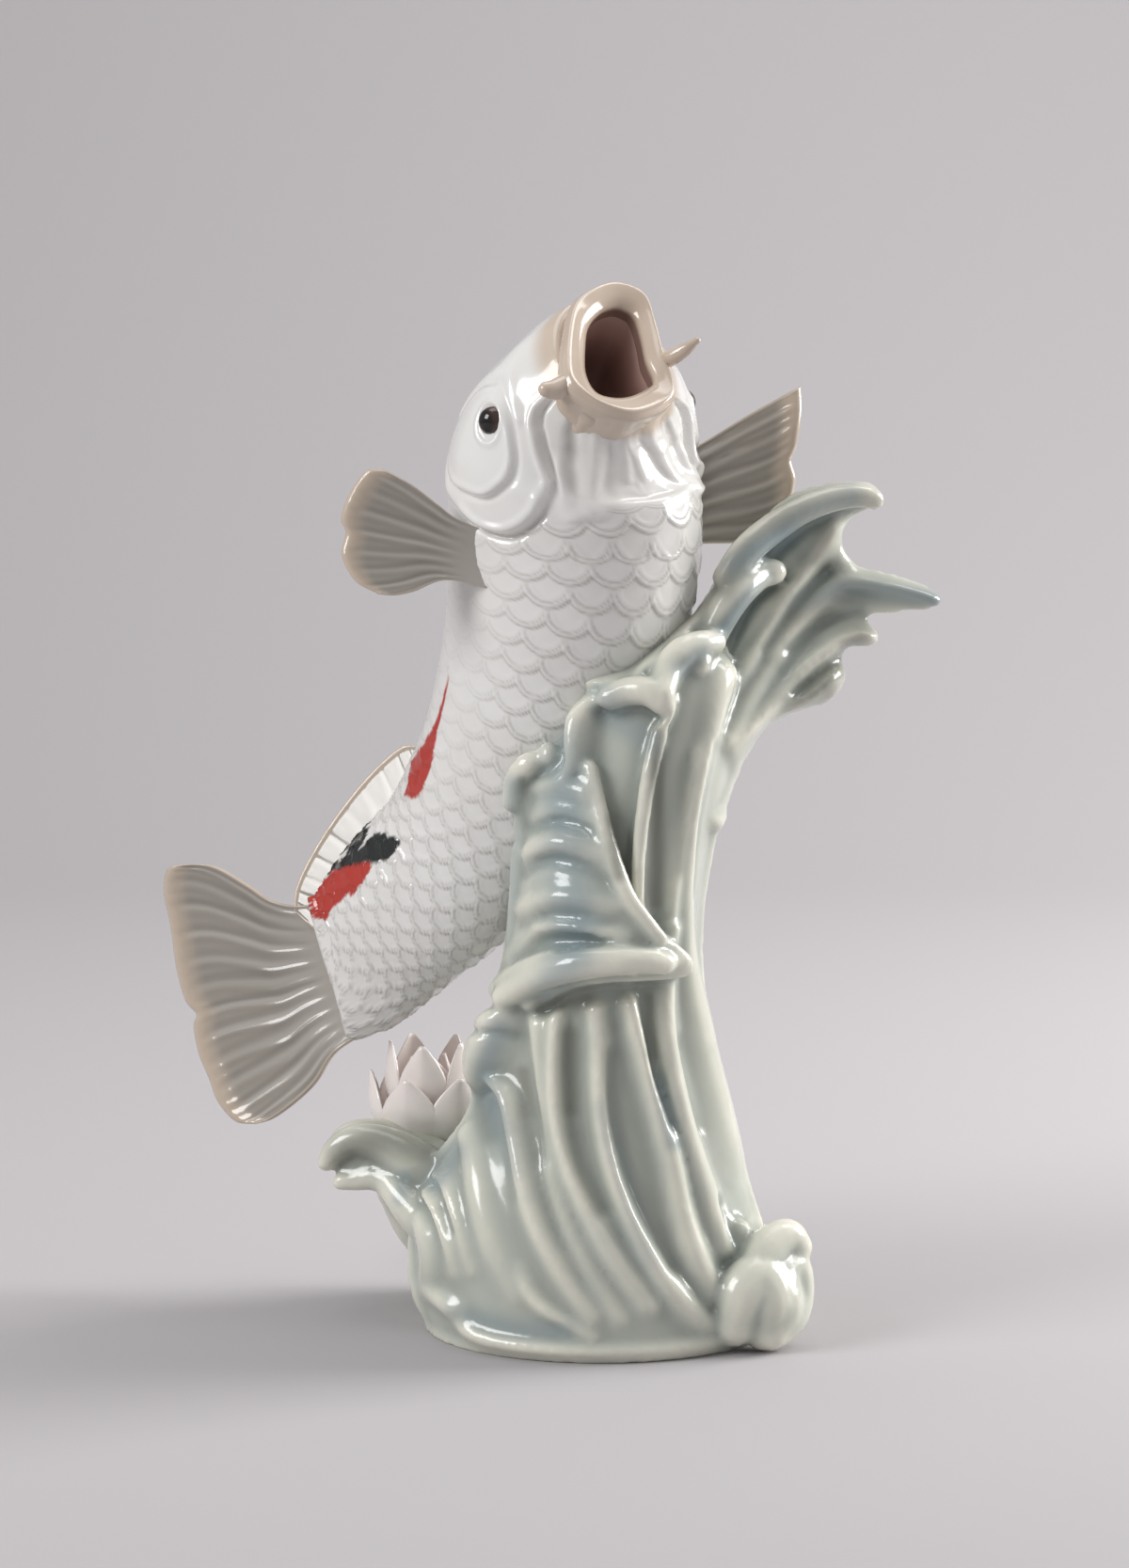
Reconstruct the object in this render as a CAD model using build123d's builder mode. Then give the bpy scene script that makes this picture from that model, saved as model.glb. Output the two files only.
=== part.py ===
from build123d import *
import os
from math import cos, pi, radians, sin

# A porcelain koi that leaps out of a curling wave, with a water lily at its foot.
# Millimetres. X runs to the right of the figure as it is shown, Y to its back and Z up,
# and the origin is the middle of the flat foot.

# Wave stand
column_height = 228.0
base_width = 130.0
base_depth = 112.0
back_flute_count = 7
vent_diameter = 8.0
vent_depth = 9.0
vent_left = 20.0
vent_behind = 12.0

# Height, middle to the right, middle to the back, half width, half depth, flute depth.
# The first is a share of the column's height, the next four are shares of the base's
# width and depth in turn, and the last is a share of the half sizes.
column_share = [
    (0.000, 0.000, 0.000, 0.486, 0.485, 0.016),
    (0.035, 0.000, 0.000, 0.500, 0.496, 0.028),
    (0.165, -0.035, -0.009, 0.480, 0.470, 0.054),
    (0.245, -0.035, -0.018, 0.432, 0.428, 0.064),
    (0.340, 0.000, -0.036, 0.362, 0.372, 0.072),
    (0.460, 0.000, -0.045, 0.314, 0.328, 0.078),
    (0.615, 0.010, -0.045, 0.274, 0.298, 0.082),
    (0.770, 0.035, -0.045, 0.282, 0.294, 0.078),
    (0.890, 0.095, -0.045, 0.286, 0.283, 0.070),
    (1.000, 0.130, -0.070, 0.242, 0.228, 0.055),
]
# Form from one ridge to the next: share of the way, and height as a share of the flute depth
flute_share = [(0.00, 1.0), (0.24, 0.55), (0.50, -1.0), (0.76, 0.55)]
# Shares of the column's height at which the table below gives the bearings of its ridges
flute_height_share = (0.00, 0.25, 0.45, 0.70, 1.00)
# Bearings in degrees of the ridges of the front, foot to top, from the left round to the right.
# The ridges of the back share out the rest of the turn evenly.
flute_bearings = [
    (-135, -182, -170, -165, -165),
    (-117, -140, -152, -150, -150),
    (-93, -112, -138, -136, -134),
    (-80, -102, -125, -122, -118),
    (-70, -92, -109, -108, -103),
    (-60, -80, -93, -96, -92),
    (-50, -64, -74, -84, -84),
    (-40, -49, -54, -70, -76),
    (-26, -31, -38, -53, -66),
    (-5, -6, -10, -24, -48),
]

# Fish
fish_length = 300.0
fish_height = 92.0
fish_width = 86.0
fish_seat_left = 30.5
fish_seat_behind = 21.0
fish_seat_height_share = 0.872
gill_relief = 1.5
gill_length = 46.0
gill_height = 40.0
gill_row = 7.6
cheek_relief = 3.0
cheek_length = 30.0
cheek_height = 32.0
cheek_row = 7.85
eye_diameter = 9.6
eye_dome = 2.3
eye_row = 8.7
eye_angle = 4.0
# Radius and height of the eye's steps, as shares of its radius and dome
eye_share = [(0.80, -1.6), (1.0, 0.0), (0.90, 0.45), (0.62, 0.86), (0.30, 1.0)]

# Scales lie in staggered rings from the tail to the gill covers, two sides of the body to each
scale_relief = 1.2
scale_sink = 0.4
scale_ring_count = 27
scale_head_row = 7.4
# Outline of a gill cover from its row: to the mouth as a share of its length, and to the back
# as a share of its height
gill_outline_share = [
    (-0.14, 0.28),
    (-0.23, 0.02),
    (-0.21, -0.28),
    (-0.06, -0.58),
    (0.28, -0.76),
    (0.56, -0.76),
    (0.76, -0.56),
    (0.86, 0.02),
    (0.70, 0.34),
    (0.30, 0.42),
]
cheek_outline_share = [
    (-0.06, 0.26),
    (-0.08, -0.16),
    (0.10, -0.42),
    (0.46, -0.56),
    (0.84, -0.40),
    (0.98, 0.06),
    (0.80, 0.36),
    (0.36, 0.44),
]

# Middle of each section from the seat, as shares of the fish's length, tail root first
spine_share = [
    (-0.223, 0.067, -0.256),
    (-0.187, 0.057, -0.242),
    (-0.131, 0.043, -0.181),
    (-0.057, 0.020, -0.104),
    (0.000, 0.000, 0.000),
    (0.040, -0.013, 0.107),
    (0.063, -0.023, 0.196),
    (0.071, -0.033, 0.285),
    (0.073, -0.050, 0.373),
    (0.093, -0.088, 0.439),
    (0.115, -0.131, 0.483),
]
# Half height and half width of each section, as shares of the fish's height and width
girth_share = [
    (0.290, 0.050),
    (0.300, 0.140),
    (0.348, 0.233),
    (0.370, 0.302),
    (0.402, 0.360),
    (0.446, 0.419),
    (0.489, 0.477),
    (0.500, 0.500),
    (0.467, 0.488),
    (0.345, 0.395),
    (0.293, 0.244),
]
# Where the back points at each section
back_share = [
    (-0.31, 0.20, 0.93),
    (-0.34, 0.26, 0.90),
    (-0.44, 0.42, 0.78),
    (-0.58, 0.52, 0.60),
    (-0.68, 0.58, 0.42),
    (-0.72, 0.62, 0.30),
    (-0.73, 0.66, 0.18),
    (-0.71, 0.69, 0.12),
    (-0.62, 0.72, 0.28),
    (-0.42, 0.68, 0.60),
    (-0.157, 0.556, 0.817),
]
tail_facing_share = (0.903, -0.248, 0.351)
mouth_facing_share = (0.22, -0.78, 0.58)

# Mouth
lip_reach = 9.0
lip_height = 54.0
lip_width = 42.0
gape_height = 33.0
gape_width = 25.0
mouth_wall = 2.4
mouth_depth = 36.0
mouth_floor_share = 0.62
# Half outline of the lips, as shares of their half height and half width, top first
lip_outline_share = [
    (1.0, 0.0),
    (0.93, 0.30),
    (0.72, 0.60),
    (0.38, 0.83),
    (-0.04, 0.97),
    (-0.45, 0.98),
    (-0.78, 0.76),
    (-0.95, 0.40),
]
# Place outwards as a share of the reach, and sizes as shares of the lips' or the gape's sizes
lip_outside_share = [(0.0, 0.96), (0.45, 1.0), (0.80, 0.98), (1.0, 0.90)]
lip_inside_share = [(0.0, 1.0), (0.75, 1.06), (1.0, 1.22)]

# Barbels at the corners of the mouth
barbel_length = 11.0
barbel_diameter = 4.4
barbel_right_share = (-0.80, -0.45, -0.30)
barbel_left_share = (0.78, -0.25, 0.52)
# Reach and size of each section of a barbel, as shares of its length and diameter
barbel_share = [(0.0, 1.0), (0.75, 0.85), (1.6, 0.35)]
# Root of a barbel outwards, down and aside, as shares of the lips' reach, height and width
barbel_root_share = (0.50, 0.17, 0.33)

# Fins
fin_thickness = 2.6
fin_pleat = 2.0
fin_bury = 7.0
tail_reach = 63.0
tail_spread = 100.0
tail_pleat_count = 15
pectoral_right_reach = 49.0
pectoral_right_spread = 44.0
pectoral_left_reach = 61.0
pectoral_left_spread = 48.0
pectoral_pleat_count = 8
dorsal_reach = 21.0
dorsal_spread = 80.0
dorsal_pleat_count = 11
# Row of the spine and angle from the right flank at which each pectoral fin is rooted, and
# the shares of a unit along which it reaches out and faces
pectoral_right_row = 6.75
pectoral_right_angle = 6.0
pectoral_right_reach_share = (-0.95, -0.12, 0.28)
pectoral_right_face_share = (-0.12, 0.99, -0.02)
pectoral_left_row = 7.1
pectoral_left_angle = 186.0
pectoral_left_reach_share = (0.95, -0.10, 0.30)
pectoral_left_face_share = (-0.10, -0.99, 0.0)
dorsal_tail_row = 0.45
dorsal_head_row = 3.1
dorsal_lean_share = (-0.79, 0.56, 0.25)
# Reach of the uncut fan from which each fin is cut
fan_reach_share = 1.1
# Half spread at the root and at the rim as shares of the spread, and bow as a share of the reach
tail_fan_share = (0.26, 0.66, 0.12)
pectoral_right_fan_share = (0.22, 0.58, 0.10)
pectoral_left_fan_share = (0.30, 0.58, 0.08)
# Reach, half spread and thickness of the dorsal fin's sheet at its root and at its rim
dorsal_sheet_share = [(-0.50, 0.56, 1.5), (0.95, 0.56, 1.0)]

# Reach outwards and place across, as shares of a fin's reach and spread
tail_outline_share = [
    (-0.12, 0.24),
    (0.07, 0.26),
    (0.22, 0.30),
    (0.33, 0.39),
    (0.48, 0.50),
    (0.69, 0.55),
    (0.82, 0.53),
    (0.87, 0.46),
    (0.91, 0.33),
    (0.96, 0.18),
    (0.97, 0.06),
    (0.93, 0.00),
    (0.97, -0.04),
    (0.99, -0.14),
    (0.97, -0.24),
    (0.94, -0.33),
    (0.86, -0.42),
    (0.74, -0.46),
    (0.45, -0.43),
    (0.29, -0.39),
    (0.12, -0.31),
    (-0.12, -0.28),
]
pectoral_right_outline_share = [
    (-0.20, 0.20),
    (0.18, 0.22),
    (0.36, 0.29),
    (0.58, 0.39),
    (0.82, 0.45),
    (0.95, 0.36),
    (0.99, 0.14),
    (0.99, -0.03),
    (0.93, -0.12),
    (0.92, -0.30),
    (0.78, -0.46),
    (0.58, -0.52),
    (0.36, -0.42),
    (0.16, -0.27),
    (-0.20, -0.24),
]
pectoral_left_outline_share = [
    (-0.30, 0.28),
    (0.20, 0.34),
    (0.60, 0.46),
    (0.97, 0.56),
    (0.92, 0.36),
    (0.82, 0.12),
    (0.77, 0.05),
    (0.76, -0.10),
    (0.66, -0.29),
    (0.50, -0.40),
    (0.32, -0.43),
    (0.10, -0.36),
    (-0.30, -0.28),
]
dorsal_outline_share = [
    (-0.45, -0.50),
    (-0.45, 0.44),
    (0.30, 0.46),
    (0.62, 0.40),
    (0.80, 0.22),
    (0.84, 0.00),
    (0.78, -0.22),
    (0.62, -0.40),
    (0.30, -0.50),
]

# Wave crest
crest_reach = 137.0
crest_width = 92.0
crest_thickness = 34.0
crest_lean_angle = 38.5
crest_pleat_count = 8
crest_root_share = 0.86
# Reach, half width, thickness, middle to the back, bow, tilt and pleat depth
crest_share = [
    (-0.10, 0.36, 1.00, -0.02, 0.00, 0.00, 0.016),
    (0.20, 0.42, 0.85, 0.00, 0.05, 0.04, 0.026),
    (0.45, 0.50, 0.56, 0.05, 0.12, 0.09, 0.034),
    (0.72, 0.58, 0.32, 0.08, 0.18, 0.13, 0.034),
    (1.04, 0.66, 0.22, 0.02, 0.20, 0.16, 0.026),
]
# Outline of the crest and its fingers: reach and place across from the column's top
crest_outline_share = [
    (-0.08, -0.40),
    (0.30, -0.42),
    (0.58, -0.36),
    (0.72, -0.31),
    (0.86, -0.27),
    (0.945, -0.12),
    (0.98, 0.05),
    (0.945, 0.085),
    (0.885, 0.045),
    (0.835, 0.055),
    (0.805, 0.13),
    (0.83, 0.28),
    (0.875, 0.47),
    (0.855, 0.515),
    (0.79, 0.43),
    (0.73, 0.33),
    (0.695, 0.375),
    (0.655, 0.405),
    (0.59, 0.365),
    (0.51, 0.405),
    (0.41, 0.38),
    (0.27, 0.29),
    (0.10, 0.34),
    (-0.08, 0.36),
]

# Curling lips of water on the front of the column. A path holds the height as a share of
# the column's height and the bearing in degrees round the column, with the half width,
# half depth and stand-off as shares of the lip's own width and depth.
tongue_width = 38.0
tongue_depth = 18.0
# Swell of the ripples across the tongue, as a share of its half width and half depth
tongue_ripple_share = 0.12
tongue_path_share = [
    (0.925, -156.0, 0.20, 0.28, 0.00),
    (0.865, -142.0, 0.42, 0.42, 0.05),
    (0.785, -127.0, 0.58, 0.52, 0.12),
    (0.700, -110.0, 0.60, 0.58, 0.28),
    (0.640, -88.0, 0.38, 0.48, 0.56),
    (0.620, -67.0, 0.14, 0.28, 0.84),
    (0.612, -60.0, 0.05, 0.12, 0.86),
]
small_tongue_width = 17.0
small_tongue_depth = 12.0
small_tongue_path_share = [
    (0.400, -141.0, 0.22, 0.25, -0.10),
    (0.440, -133.0, 0.46, 0.50, 0.00),
    (0.490, -123.0, 0.42, 0.50, 0.10),
    (0.530, -112.0, 0.14, 0.20, 0.20),
]
front_lip_width = 13.0
front_lip_depth = 14.0
front_lip_path_share = [
    (1.015, -160.0, 0.30, 0.30, 0.00),
    (1.030, -140.0, 0.44, 0.46, 0.05),
    (1.035, -112.0, 0.50, 0.50, 0.10),
    (1.020, -88.0, 0.50, 0.50, 0.12),
    (0.980, -70.0, 0.44, 0.46, 0.05),
    (0.915, -68.0, 0.20, 0.24, 0.00),
]
left_rim_width = 10.0
left_rim_depth = 10.0
left_rim_path_share = [
    (0.990, -150.0, 0.30, 0.30, 0.20),
    (0.950, -152.0, 0.46, 0.46, 0.30),
    (0.890, -153.0, 0.50, 0.50, 0.30),
    (0.810, -154.0, 0.46, 0.46, 0.20),
    (0.720, -153.0, 0.36, 0.36, 0.10),
    (0.640, -151.0, 0.14, 0.14, 0.00),
]
right_curl_width = 20.0
right_curl_depth = 16.0
right_curl_path_share = [
    (0.052, -42.0, 0.26, 0.30, -0.10),
    (0.075, -25.0, 0.44, 0.46, 0.10),
    (0.115, -10.0, 0.50, 0.50, 0.25),
    (0.165, 0.0, 0.44, 0.46, 0.22),
    (0.205, 4.0, 0.18, 0.24, 0.10),
]

# Ridge of water between the fish's belly and the crest, in the crest's own directions:
# reach, place across, place to the back, half width and half depth
ridge_width = 38.0
ridge_depth = 22.0
ridge_path_share = [
    (0.10, -0.10, -0.17, 0.40, 0.40),
    (0.27, -0.16, -0.17, 0.46, 0.48),
    (0.43, -0.19, -0.16, 0.40, 0.46),
    (0.58, -0.20, -0.13, 0.30, 0.38),
    (0.70, -0.20, -0.10, 0.17, 0.26),
    (0.75, -0.19, -0.08, 0.06, 0.10),
]

# Splash at the left of the base, which carries the lily. Its path holds places from its
# root in shares of its reach, then the half width and half depth.
left_curl_reach = 55.0
left_curl_width = 60.0
left_curl_depth = 28.0
left_curl_height_share = 0.165
left_curl_angle = 152.0
left_curl_path_share = [
    (0.285, 0.03, 0.00, 0.50, 0.46),
    (-0.07, -0.04, 0.17, 0.50, 0.48),
    (-0.315, -0.07, 0.36, 0.40, 0.36),
    (-0.53, -0.11, 0.41, 0.27, 0.28),
    (-0.66, -0.13, 0.335, 0.15, 0.17),
    (-0.715, -0.145, 0.245, 0.05, 0.07),
]
left_finger_width = 8.0
left_finger_path_share = [
    (-0.05, -0.36, 0.10, 0.50, 0.50),
    (-0.30, -0.40, 0.20, 0.48, 0.48),
    (-0.47, -0.38, 0.235, 0.42, 0.42),
    (-0.61, -0.36, 0.27, 0.22, 0.22),
]

# Water lily
lily_place_share = (0.05, 0.25, 0.335)
lily_heart_diameter = 12.0
lily_heart_height = 12.0
lily_heart_bury = 9.0
petal_thickness = 1.3
petal_width = 17.0
petal_reach = 21.0
petal_rise = 38.0
stamen_count = 10
stamen_diameter = 1.3
stamen_height = 15.0
stamen_ring_share = 0.26
# Ring name, petals, turn in petal spacings, then the profile from root to tip as shares of
# the petals' reach and rise, and the width as a share of the petals' width
petal_ring_share = [
    ("outer", 6, 0.00, [(0.18, 0.04), (0.62, 0.12), (0.92, 0.36), (1.00, 0.70)], 1.00),
    ("middle", 5, 0.50, [(0.16, 0.10), (0.46, 0.22), (0.68, 0.52), (0.70, 0.88)], 0.78),
    ("inner", 4, 0.25, [(0.14, 0.18), (0.33, 0.36), (0.40, 0.68), (0.30, 1.02)], 0.50),
]
# Half outline of a petal: height and half width, as shares of its rise and width
leaf_share = [(0.00, 0.20), (0.28, 0.44), (0.50, 0.50), (0.72, 0.40), (0.90, 0.17), (1.02, 0.02)]

overrun = 5.0
body_side_count = 20
body_step_count = 2
mouth_side_count = 16
water_side_count = 8
water_step_count = 3
barbel_side_count = 6
os.makedirs("parts", exist_ok=True)


def finish(piece, name):
    """Label the largest solid of a piece, which leaves trimmed crumbs behind, and write it."""
    solid = piece.solids().sort_by(SortBy.VOLUME)[-1]
    solid.label = name
    export_step(solid, f"parts/{name}.step")


def mix(low, high, part):
    return tuple(a + (b - a) * part for a, b in zip(low, high))


def along_rows(rows, place):
    """Values on a smooth curve through the rows of a table, at a place counted in rows."""
    low = min(int(place), len(rows) - 2)
    part = place - low
    start, end = rows[low], rows[low + 1]
    before, after = rows[max(low - 1, 0)], rows[min(low + 2, len(rows) - 1)]
    values = []
    for a, b, c, d in zip(before, start, end, after):
        bend = (c - a, 2 * a - 5 * b + 4 * c - d, 3 * b - a - 3 * c + d)
        values.append(b + (bend[0] + (bend[1] + bend[2] * part) * part) * part / 2)
    return values


def face_of(plane, points):
    """Straight-sided face through points of a plane."""
    with BuildSketch(plane) as section:
        with BuildLine():
            Polyline(*points, close=True)
        make_face()
    return section.sketch


def placed(plane, points):
    """Points of a plane as places in space."""
    return [plane.from_local_coords((x, y, 0)) for x, y in points]


def oval_points(half_x, half_y, side_count):
    """Corners of a faceted oval, the first on the X axis."""
    turns = [radians(360 * index / side_count) for index in range(side_count)]
    return [(half_x * cos(turn), half_y * sin(turn)) for turn in turns]


def oval(plane, half_x, half_y, side_count):
    return placed(plane, oval_points(half_x, half_y, side_count))


def faceted_loft(sections):
    """Solid of flat facets through sections, each a ring of as many places in space."""
    facets = [sections[0], sections[-1]]
    for low, high in zip(sections, sections[1:]):
        for index, corner in enumerate(low):
            after = (index + 1) % len(low)
            if (corner - high[after]).length < (low[after] - high[index]).length:
                facets.append((corner, low[after], high[after]))
                facets.append((corner, high[after], high[index]))
            else:
                facets.append((corner, low[after], high[index]))
                facets.append((low[after], high[after], high[index]))
    return Solid(Shell([Face(Wire.make_polygon(facet)) for facet in facets]))


# Wave column

def column_row(height_share):
    """Middle, half sizes and flute depth of the column at a share of its height."""
    index = 0
    while index < len(column_share) - 2 and column_share[index + 1][0] < height_share:
        index += 1
    low, high = column_share[index], column_share[index + 1]
    part = min((height_share - low[0]) / (high[0] - low[0]), 1)
    _, right, behind, half_width, half_depth, flute = mix(low, high, part)
    middle = Vector(right * base_width, behind * base_depth, height_share * column_height)
    return middle, half_width * base_width, half_depth * base_depth, flute


def column_point(height_share, bearing, stand_off=0):
    """Point on the column's skin, or off it by a distance, and the outward direction there."""
    middle, half_width, half_depth, _ = column_row(height_share)
    outward = Vector(cos(radians(bearing)), sin(radians(bearing)), 0)
    skin = Vector(outward.X * half_width, outward.Y * half_depth, 0)
    return middle + skin + outward * stand_off, outward


def ridge_bearings(height_share):
    """Bearings of all the ridges at a share of the column's height."""
    index = 0
    while index < len(flute_height_share) - 2 and flute_height_share[index + 1] < height_share:
        index += 1
    span = flute_height_share[index + 1] - flute_height_share[index]
    part = (height_share - flute_height_share[index]) / span
    front = [row[index] + (row[index + 1] - row[index]) * part for row in flute_bearings]
    back_arc = front[0] + 360 - front[-1]
    back_step = back_arc / (back_flute_count + 1)
    return front + [front[-1] + back_step * (index + 1) for index in range(back_flute_count)]


def fluted_outline(row):
    """Corners of one section: a ridge, then a groove, all round."""
    height_share, _, _, _, _, flute = row
    middle, half_width, half_depth, _ = column_row(height_share)
    ridges = ridge_bearings(height_share)
    corners = []
    for ridge, after in zip(ridges, ridges[1:] + [ridges[0] + 360]):
        for part, rise in flute_share:
            bearing = radians(ridge + (after - ridge) * part)
            outward = Vector(cos(bearing) * half_width, sin(bearing) * half_depth, 0)
            corners.append(middle + outward * (1 + rise * flute))
    return corners


with BuildPart() as column_form:
    add(faceted_loft([fluted_outline(row) for row in column_share]))


# Fish body

fish_seat = Vector(-fish_seat_left, fish_seat_behind, fish_seat_height_share * column_height)
spine_points = [fish_seat + Vector(*row) * fish_length for row in spine_share]

facings = [Vector(*tail_facing_share)]
facings += [after - before for before, after in zip(spine_points, spine_points[2:])]
facings += [Vector(*mouth_facing_share)]


def fish_station(row):
    """Section plane between two rows, X to the back and Y to the right, with its half sizes."""
    low = min(int(row), len(spine_share) - 2)
    facing = Vector(*mix(facings[low].normalized(), facings[low + 1].normalized(), row - low))
    height, width = along_rows(girth_share, row)
    plane = Plane(
        origin=fish_seat + Vector(*along_rows(spine_share, row)) * fish_length,
        x_dir=along_rows(back_share, row),
        z_dir=facing,
    )
    return plane, height * fish_height, width * fish_width


def flank_point(row, angle, depth=0):
    """Point under the fish's skin. The angle turns from the right flank to the back."""
    plane, half_height, half_width = fish_station(row)
    up = plane.x_dir * (sin(radians(angle)) * (half_height - depth))
    side = plane.y_dir * (cos(radians(angle)) * (half_width - depth))
    return plane.origin + up + side


def fish_form(growth):
    sections = []
    for step in range(body_step_count * (len(spine_share) - 1) + 1):
        plane, half_height, half_width = fish_station(step / body_step_count)
        sections.append(oval(plane, half_height + growth, half_width + growth, body_side_count))
    with BuildPart() as form:
        add(faceted_loft(sections))
    return form.part


def scaled_ring(row, lifted):
    """Corners of a body section and the middles of its sides, sunk between the scales.

    Every second point is lifted: the corners where the argument is 0, the middles where it
    is 1, and all of them where it is None.
    """
    plane, half_height, half_width = fish_station(row)
    corners = oval(plane, half_height - scale_sink, half_width - scale_sink, body_side_count)
    ring = []
    for corner, after in zip(corners, corners[1:] + corners[:1]):
        for part, place in enumerate((corner, (corner + after) / 2)):
            drop = 0 if lifted in (part, None) else scale_relief
            ring.append(place - (place - plane.origin).normalized() * drop)
    return ring


def scaled_form():
    """The body with its scales, just under the plain form that the crest's pieces are cut to."""
    rings = []
    for step in range(scale_ring_count):
        rings.append(scaled_ring(step / scale_ring_count * scale_head_row, step % 2))
    first_row = int(scale_head_row * body_step_count) + 1
    for step in range(first_row, body_step_count * (len(spine_share) - 1) + 1):
        rings.append(scaled_ring(step / body_step_count, None))
    with BuildPart() as form:
        add(faceted_loft(rings))
    return form.part


def side_prism(row, outline_share, length, height):
    """Prism through both cheeks, over an outline that reaches from a row to the mouth."""
    plane, _, half_width = fish_station(row)
    cheek = Plane(origin=plane.origin, x_dir=plane.z_dir, z_dir=-plane.y_dir)
    points = [(along * length, up * height) for along, up in outline_share]
    with BuildPart() as prism:
        extrude(face_of(cheek, points), amount=2 * half_width, both=True)
    return prism.part


def mouth_form(wall):
    """Inside of the mouth, or with a wall the outside of its lining."""
    front = fish_station(len(spine_share) - 1)[0]
    sections = []
    for depth, size in ((0, 1), (mouth_depth + wall, mouth_floor_share)):
        half_height, half_width = size * gape_height / 2, size * gape_width / 2
        sections.append(oval(
            front.offset(-depth), half_height + size * wall, half_width + size * wall, mouth_side_count
        ))
    with BuildPart() as form:
        add(faceted_loft(sections))
    return form.part


trunk = fish_form(0)
scaled_trunk = scaled_form()

with BuildPart() as gill_covers:
    add(fish_form(gill_relief))
    add(side_prism(gill_row, gill_outline_share, gill_length, gill_height), mode=Mode.INTERSECT)

with BuildPart() as cheek_plates:
    add(fish_form(cheek_relief))
    add(side_prism(cheek_row, cheek_outline_share, cheek_length, cheek_height), mode=Mode.INTERSECT)

with BuildPart() as fish_body:
    add(scaled_trunk)
    add(gill_covers.part)
    add(cheek_plates.part)
    add(mouth_form(mouth_wall), mode=Mode.SUBTRACT)

with BuildPart() as mouth_cup:
    add(mouth_form(mouth_wall))
    add(mouth_form(0), mode=Mode.SUBTRACT)

finish(fish_body, "fish_body")
finish(mouth_cup, "mouth_cup")


# Lips

lip_plane = fish_station(len(spine_share) - 1)[0]


def egg_outline(half_height, half_width):
    """Closed outline of the lips, wide at the chin."""
    left = [(half_height * up, half_width * out) for up, out in lip_outline_share]
    chin = [(-half_height, 0)]
    right = [(up, -out) for up, out in reversed(left[1:])]
    return left + chin + right


with BuildPart() as lip_form:
    add(faceted_loft([
        placed(
            lip_plane.offset(place * lip_reach),
            egg_outline(size * lip_height / 2, size * lip_width / 2),
        )
        for place, size in lip_outside_share
    ]))

with BuildPart() as gape:
    add(faceted_loft([
        oval(
            lip_plane.offset(place * lip_reach),
            size * gape_height / 2,
            size * gape_width / 2,
            mouth_side_count,
        )
        for place, size in lip_inside_share
    ]))

with BuildPart() as lips:
    add(lip_form.part)
    add(gape.part, mode=Mode.SUBTRACT)

finish(lips, "lips")


# Eyes

def eye_form(side):
    """Stepped dome, with its root sunk in the head."""
    plane, _, _ = fish_station(eye_row)
    outward = plane.y_dir * (side * cos(radians(eye_angle)))
    outward += plane.x_dir * sin(radians(eye_angle))
    centre = flank_point(eye_row, eye_angle if side > 0 else 180 - eye_angle, -cheek_relief)
    sections = []
    for radius, height in eye_share:
        step = Plane(origin=centre + outward * (height * eye_dome), x_dir=plane.z_dir, z_dir=outward)
        half = radius * eye_diameter / 2
        sections.append(oval(step, half, half, mouth_side_count))
    with BuildPart() as dome:
        add(faceted_loft(sections))
    return dome.part


for eye_name, side in (("eye_right", 1), ("eye_left", -1)):
    with BuildPart() as eye:
        add(eye_form(side))
        add(cheek_plates.part, mode=Mode.SUBTRACT)
        add(trunk, mode=Mode.SUBTRACT)
    finish(eye, eye_name)


# Barbels

def barbel_form(side, facing_share):
    outwards, down, aside = barbel_root_share
    corner = lip_plane.origin + lip_plane.z_dir * (outwards * lip_reach)
    root = corner - lip_plane.x_dir * (down * lip_height) + lip_plane.y_dir * (side * aside * lip_width)
    facing = Vector(*facing_share).normalized()
    sections = []
    for reach, size in barbel_share:
        plane = Plane(origin=root + facing * (reach * barbel_length), z_dir=facing)
        radius = size * barbel_diameter / 2
        sections.append(oval(plane, radius, radius, barbel_side_count))
    with BuildPart() as form:
        add(faceted_loft(sections))
    return form.part


for barbel_name, side, facing_share in (
    ("barbel_right", 1, barbel_right_share),
    ("barbel_left", -1, barbel_left_share),
):
    with BuildPart() as barbel:
        add(barbel_form(side, facing_share))
        add(lip_form.part, mode=Mode.SUBTRACT)
        add(trunk, mode=Mode.SUBTRACT)
    finish(barbel, barbel_name)


# Fins

def pleated_sheet(plane, stations, pleat_count):
    """Sheet that reaches along the plane's X and spreads along its Y in standing pleats.

    A station holds the reach, half spread, pleat depth, thickness, bow and tilt.
    """
    sections = []
    for reach, half_spread, pleat, thickness, middle, bow, tilt in stations:
        top, bottom = [], []
        for index in range(2 * pleat_count + 1):
            across = index / pleat_count - 1
            wave = pleat / 2 if index % 2 else -pleat / 2
            height = middle + bow * (1 - across**2) + tilt * across + wave
            top.append((across * half_spread, height + thickness / 2))
            bottom.append((across * half_spread, height - thickness / 2))
        section = Plane(
            origin=plane.origin + plane.x_dir * reach, x_dir=plane.y_dir, z_dir=plane.x_dir
        )
        sections.append(placed(section, top + bottom[::-1]))
    with BuildPart() as sheet:
        add(faceted_loft(sections))
    return sheet.part


def outline_prism(plane, outline_share, reach, spread):
    """Prism along the plane's Z over an outline."""
    points = [(along * reach, across * spread) for along, across in outline_share]
    with BuildPart() as prism:
        extrude(face_of(plane, points), amount=spread, both=True)
    return prism.part


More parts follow.
